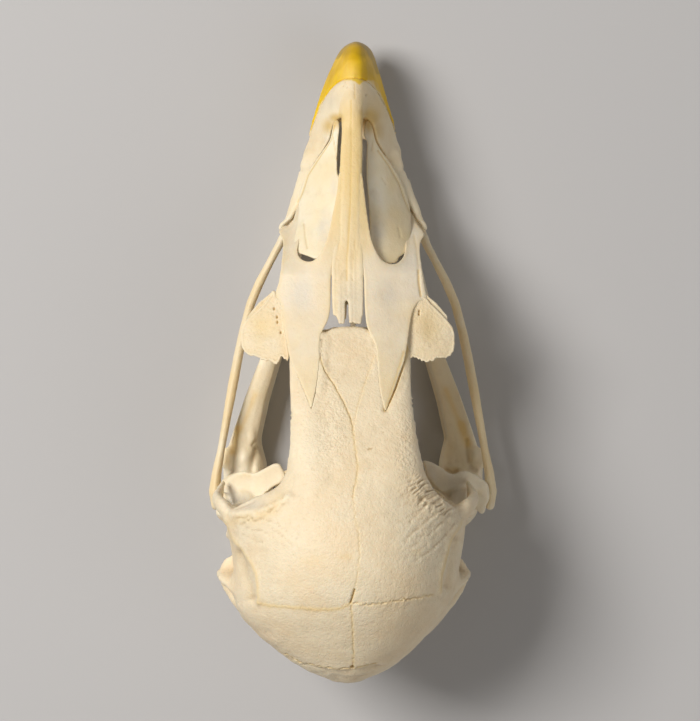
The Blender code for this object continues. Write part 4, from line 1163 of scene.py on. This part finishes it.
def make_lacrimal(side):
    left = side == "left"
    outline = LACRIMAL_LEFT if left else LACRIMAL_RIGHT
    wing = draped(f"lacrimal_{side}_wing", outline, lacrimal_surface, 0.55, LACRIMAL_PITCH)
    stalk = copy_of(f"lacrimal_{side}", f"lacrimal_{side}_stalk")
    cut_off(stalk, (0, 0, STALK_TOP), (0, 0, 1))
    bone = joined(f"lacrimal_{side}_bone", [wing, stalk])
    even_skin(bone, LACRIMAL_PITCH)
    relax(bone, 2)
    points, normals = points_of(bone), normals_of(bone)
    spots = pixels(points)
    top = soft_step(0.0, 0.4, normals[:, 2])
    holes = [(274, 308.7), (277, 317), (277.4, 322), (280.7, 332.3)] if left else [(419.4, 311), (419.2, 314)]
    depth = lumpy(points, (0.035, 0.9, 91), (0.025, 0.3, 92))
    pits = sum(spot(spots, hole, (1.6, 2.3)) for hole in holes) * top
    edge = away_from(spots, [*outline, outline[0]])
    dished = spot(spots, (262, 331) if left else (433, 329), (18, 20))
    depth += 0.35 * pits + 0.16 * dished * top
    depth -= 0.06 * soft_step(2.4, 0.6, edge) * top
    if left:
        crust = streak(spots, [(274, 293), (275, 298), (279, 303), (282, 309)], 1.9) * top
        depth -= crust * (0.16 + 0.22 * rugged(points, 0.35, 2, 95))
    points -= normals * depth[:, None]
    place_points(bone, points)
    keep_hollows(bone, 5, 0.8, 0.05)
    # Painted dark shade in the pits.
    keep_value(bone, "stain_and_shade", np.clip(0.8 * pits, 0, 1))
    tan = spot(spots, (262, 326) if left else (428, 325), (24, 26))
    keep_value(bone, "seam", np.clip(0.42 * tan + 0.12 * (1 + grain(points, 1.0, 93)), 0, 1) * top)
    keep_value(bone, "cool", 0.3 * tan * (1 + grain(points, 1.6, 94)) * top)
    return settle(bone, CREAM, "bone", f"lacrimal_{side}")


# ---------------------------------------------------------------- bars, joints and lower jaw


PALATINE_GAP = ([0.0, 1.5, 6.5, 8.0], [0.0, 4.2, 4.2, 0.0])  # how far the palatines stay from the middle


def warm_clouds(points):
    return (1 + grain(points, 4.0, 7)) * soft_step(0.2, 0.9, 1 + grain(points, 2.5, 9))


def make_plain(node, name, pitch, rounds, finish=IVORY, slot="bone"):
    """A bone whose solid has its form already: finer and rounder, with low lumps."""
    bone = copy_of(node, name)
    even_skin(bone, pitch)
    if node == "jugal_bar_left":
        points = points_of(bone)
        front = soft_step(13.0, 17.5, points[:, 1]) * soft_step(22.5, 18.5, points[:, 1])
        points[:, 0] += 0.42 * front * (points[:, 0] < -5.0)
        place_points(bone, points)
    if "palatine" in node:
        points = points_of(bone)
        apart = np.maximum(np.abs(points[:, 0]), np.interp(points[:, 1], *PALATINE_GAP))
        points[:, 0] = np.sign(points[:, 0]) * apart
        place_points(bone, points)
    relax(bone, 3)
    melt(bone, rounds)
    points, normals = points_of(bone), normals_of(bone)
    points -= normals * lumpy(points, (0.02, 1.1, len(name)), (0.01, 0.4, 3))[:, None]
    place_points(bone, points)
    keep_hollows(bone, 6, 0.8)
    keep_value(bone, "seam", 0.3 * warm_clouds(points))
    return settle(bone, finish, slot, node)


SADDLE_LEFT = [
    (221.7, 491.2), (222.5, 486), (225.6, 480), (232.3, 474.8), (237, 472.6), (241.4, 471.6), (246, 471.6),
    (249.8, 472.6), (255.3, 473), (262, 470), (268.6, 466.4), (274.7, 463.6), (279.5, 463.9),
    (281.6, 467.6), (285, 473.6), (285.3, 478.5), (280.2, 483.3), (273.5, 486.4), (265.6, 493),
    (261, 497.6), (258.3, 500.8), (255.5, 502.4), (251, 501.8), (247.4, 501), (241.4, 498.6), (235.3, 496),
    (228, 493.6),
]
SADDLE_RIGHT = [
    (422.9, 460.6), (427.5, 461.2), (432.4, 462.8), (438, 466), (443.3, 469.5), (448.4, 473.2),
    (453.5, 474.4), (459.8, 471.6), (466.2, 470.8), (472.6, 473.6), (480.3, 477.8), (487.3, 483.4),
    (488, 490), (482, 492), (475, 488), (468.8, 484.6), (462.4, 485), (453.5, 488.9), (445.8, 492.2),
    (439.4, 490.8), (433.1, 483.8), (426.7, 474.4), (424.1, 466),
]


JOINT_BLOCK_RIGHT = [
    (466, 480), (474, 477.6), (481, 479.4), (487.3, 484), (489.2, 492), (488.8, 500), (486, 505),
    (484.6, 511.5), (481.6, 514), (478.6, 511.6), (474.6, 508), (469, 506), (464.6, 500), (463, 490),
]


def block_surface(x, y):
    """Height of the right quadrate's outer block, where the jugal bar leans on it."""
    return 10.3 - 0.05 * (x - 15.0) ** 2 - 0.1 * (y + 15.5) ** 2


def saddle_surface(x, y):
    """Height of a quadrate's upper face: it rises inwards, and its front and rear rims stand up."""
    out = np.abs(x + np.where(x < 0, -0.1, 0.1))
    middle = np.interp(out, [8.7, 11.0, 12.5, 14.0, 15.8], [-13.9, -15.0, -15.6, -15.5, -15.4])
    height = np.interp(out, [8.7, 9.6, 11.0, 12.5, 14.0, 15.5, 17.0],
                       [13.9, 13.6, 12.8, 12.0, 11.5, 10.6, 9.8])
    return height + 0.07 * (y - middle) ** 2


def make_quadrate(side):
    bone = copy_of(f"quadrate_{side}", f"quadrate_{side}_bone")
    outline = SADDLE_LEFT if side == "left" else SADDLE_RIGHT
    saddle = draped(f"quadrate_{side}_saddle", rounded(outline, OUTLINE_STEP), saddle_surface, 0.9, 0.14)
    blocks = []
    if side == "right":
        block = rounded(JOINT_BLOCK_RIGHT, OUTLINE_STEP)
        blocks.append(draped("joint_block", block, block_surface, 1.6, 0.16))
    joined(bone.name, [bone, saddle, *blocks])
    even_skin(bone, 0.14)
    relax(bone, 3)
    melt(bone, 8)
    points, normals = points_of(bone), normals_of(bone)
    points -= normals * lumpy(points, (0.02, 1.2, 101), (0.01, 0.4, 102))[:, None]
    place_points(bone, points)
    spots = pixels(points)
    keep_hollows(bone, 6, 0.7, 0.08)
    pink = spot(spots, (247, 475) if side == "left" else (478, 492), (9, 6))
    keep_value(bone, "seam", 0.25 * pink + 0.12 * (1 + grain(points, 3.0, 103)))
    keep_value(bone, "cool", 0.5 * (1 + grain(points, 2.4, 104)) * soft_step(11.5, 13.0, points[:, 2]))
    return settle(bone, WHITE_BONE, "bone", f"quadrate_{side}")


def flatten_ramus(jaw):
    """Broadens the jaw's rear half into the flat upper face that shows in the orbits."""
    points, normals = points_of(jaw), normals_of(jaw)
    stops = np.arange(-13.0, 6.0, 0.5)
    for side in SIDES.values():
        half = (points[:, 0] * side > 2.0) & (points[:, 2] > 3.0)
        crest = [points[half & (np.abs(points[:, 1] - stop) < 0.6), 2].max(initial=3.0) for stop in stops]
        short = eased(points[:, 1], stops, crest, 1.0) - points[:, 2]
        share = soft_step(-12.0, -9.5, points[:, 1]) * soft_step(5.0, 1.0, points[:, 1])
        lifted = half * share * soft_step(0.0, 0.3, normals[:, 2]) * soft_step(3.2, 2.2, short)
        points[:, 2] += 0.72 * lifted * np.maximum(short, 0)
    place_points(jaw, points)


JAW_LOWEST = 0.02  # clear of the floor
# A cleft on the right half of the jaw, carved and painted dark as shade.
JAW_CLEFT = [(447, 470), (452, 472.5), (456, 471)]
# Middle, radii and height of each swelling on the jaw's upper face.
JAW_RISES = [
    ((244, 458), (9, 12), 0.45), ((230, 452), (6, 14), 0.12), ((474, 456), (7, 10), 0.4),
    ((448, 458), (9, 14), 0.35), ((456, 466), (7, 5), 0.2), ((252, 436), (6, 14), 0.15),
]
# Path, width and depth of each dip.
JAW_DIPS = [
    ([(257.5, 439.5), (252.3, 445.2)], 1.5, 0.16),
    ([(257, 449), (254.5, 460), (251.5, 470)], 3.2, 0.3),
    ([(234, 436), (231.5, 455), (230, 470)], 4.5, 0.3),
    ([(466.5, 440), (467, 452), (468.6, 462)], 2.6, 0.22),
    (JAW_CLEFT, 3.0, 0.4),
    ([(471, 467), (477, 471)], 2.6, 0.3),
]
# Path, width and strength of each stain.
JAW_STAINS = [
    ([(237, 428), (235, 440), (233, 452)], 4.0, 0.9),
    ([(462, 425), (465, 436), (468, 444)], 4.5, 1.0),
    ([(255, 395), (247, 415), (240, 430)], 3.0, 0.5),
    ([(446, 390), (455, 412), (462, 428)], 3.0, 0.55),
    ([(226, 446), (226, 462)], 4.0, 0.4),
]


def make_lower_jaw():
    jaw = copy_of("mandible", "lower_jaw")
    even_skin(jaw, 0.18)
    relax(jaw, 3)
    melt(jaw, 25)
    flatten_ramus(jaw)
    relax(jaw, 4)
    points, normals = points_of(jaw), normals_of(jaw)
    spots = pixels(points)
    top = soft_step(0.0, 0.4, normals[:, 2]) * soft_step(3.5, 4.5, points[:, 2])

    def along(path, wide):
        return streak(spots, path, wide) * top

    depth = lumpy(points, (0.02, 1.1, 111), (0.01, 0.4, 112))
    for centre, radii, high in JAW_RISES:
        depth -= high * spot(spots, centre, radii) * top
    for path, wide, deep in JAW_DIPS:
        depth += deep * along(path, wide)
    points -= normals * depth[:, None]
    points[:, 2] = np.maximum(points[:, 2], JAW_LOWEST)
    place_points(jaw, points)
    seam = sum(strength * along(path, wide) for path, wide, strength in JAW_STAINS)
    seam += 0.1 * warm_clouds(points)
    keep_hollows(jaw, 6, 0.5)
    keep_value(jaw, "seam", np.clip(seam, 0, 1))
    # Painted dark shade in the cleft.
    keep_value(jaw, "stain_and_shade", 0.35 * along(JAW_CLEFT, 3.0))
    return settle(jaw, JAW_BONE, "bone", "mandible")


make_cranium()
for side_name, nasal_outline, concha_outline in (
    ("left", NASAL_LEFT, CONCHA_LEFT),
    ("right", NASAL_RIGHT, CONCHA_RIGHT),
):
    make_nasal(side_name, nasal_outline)
    make_concha(side_name, concha_outline)
    make_lacrimal(side_name)
    make_plain(f"jugal_bar_{side_name}", f"cheek_bar_{side_name}", 0.15, 12)
    make_quadrate(side_name)
    palatine = f"palatine_{side_name}"
    make_plain(palatine, f"{palatine}_bone", 0.13, 8, NASAL_BONE, "thin_bone")
    make_plain(f"pterygoid_{side_name}", f"pterygoid_{side_name}_bone", 0.13, 8)
make_premaxilla()
make_horn("beak_sheath", "upper_horn")
make_horn("mandible_sheath", "lower_horn")
make_lower_jaw()
make_plain("vomer", "vomer_bone", 0.1, 6, NASAL_BONE, "thin_bone")


# ---------------------------------------------------------------- floor, light and camera

SKULL_MIDDLE = (0, 0, 0.015)  # in metres
SENSOR_WIDTH = 36.0


def make_stage():
    floor = disc("floor", 96, 1.6)
    material, _, shader = new_finish("pale_floor")
    set_inputs(shader, Base_Color=(0.5, 0.5, 0.51, 1), Roughness=0.75)
    floor.data.materials.append(material)


def make_light(name, place, size, power, tint):
    """A square lamp that looks at the skull's middle."""
    data = bpy.data.lights.new(name, "AREA")
    data.size, data.energy, data.color = size, power, tint
    lamp = bpy.data.objects.new(name, data)
    bpy.context.scene.collection.objects.link(lamp)
    lamp.location = place
    lamp.rotation_mode = "QUATERNION"
    lamp.rotation_quaternion = (Vector(SKULL_MIDDLE) - Vector(place)).to_track_quat("-Z", "Y")


def make_camera():
    data = bpy.data.cameras.new("eye")
    data.sensor_width = SENSOR_WIDTH
    data.lens = SENSOR_WIDTH / (PICTURE_HIGH * PIXEL_SLOPE)
    data.clip_start, data.clip_end = 0.01, 20.0
    eye = bpy.data.objects.new("eye", data)
    bpy.context.scene.collection.objects.link(eye)
    eye.location = [v * MM for v in EYE]
    bpy.context.scene.camera = eye


make_stage()
make_light("key", (-0.28, 0.12, 0.43), 0.2, 2.55, (1.0, 0.96, 0.91))
make_light("fill", (0.4, -0.3, 0.4), 0.5, 0.65, (1.0, 0.94, 0.87))
world = bpy.data.worlds.new("room")
bpy.context.scene.world = world
world.use_nodes = True
set_inputs(world.node_tree.nodes["Background"], Color=(1.0, 0.97, 0.93, 1), Strength=0.2)
bpy.context.scene.view_settings.view_transform = "Standard"
make_camera()
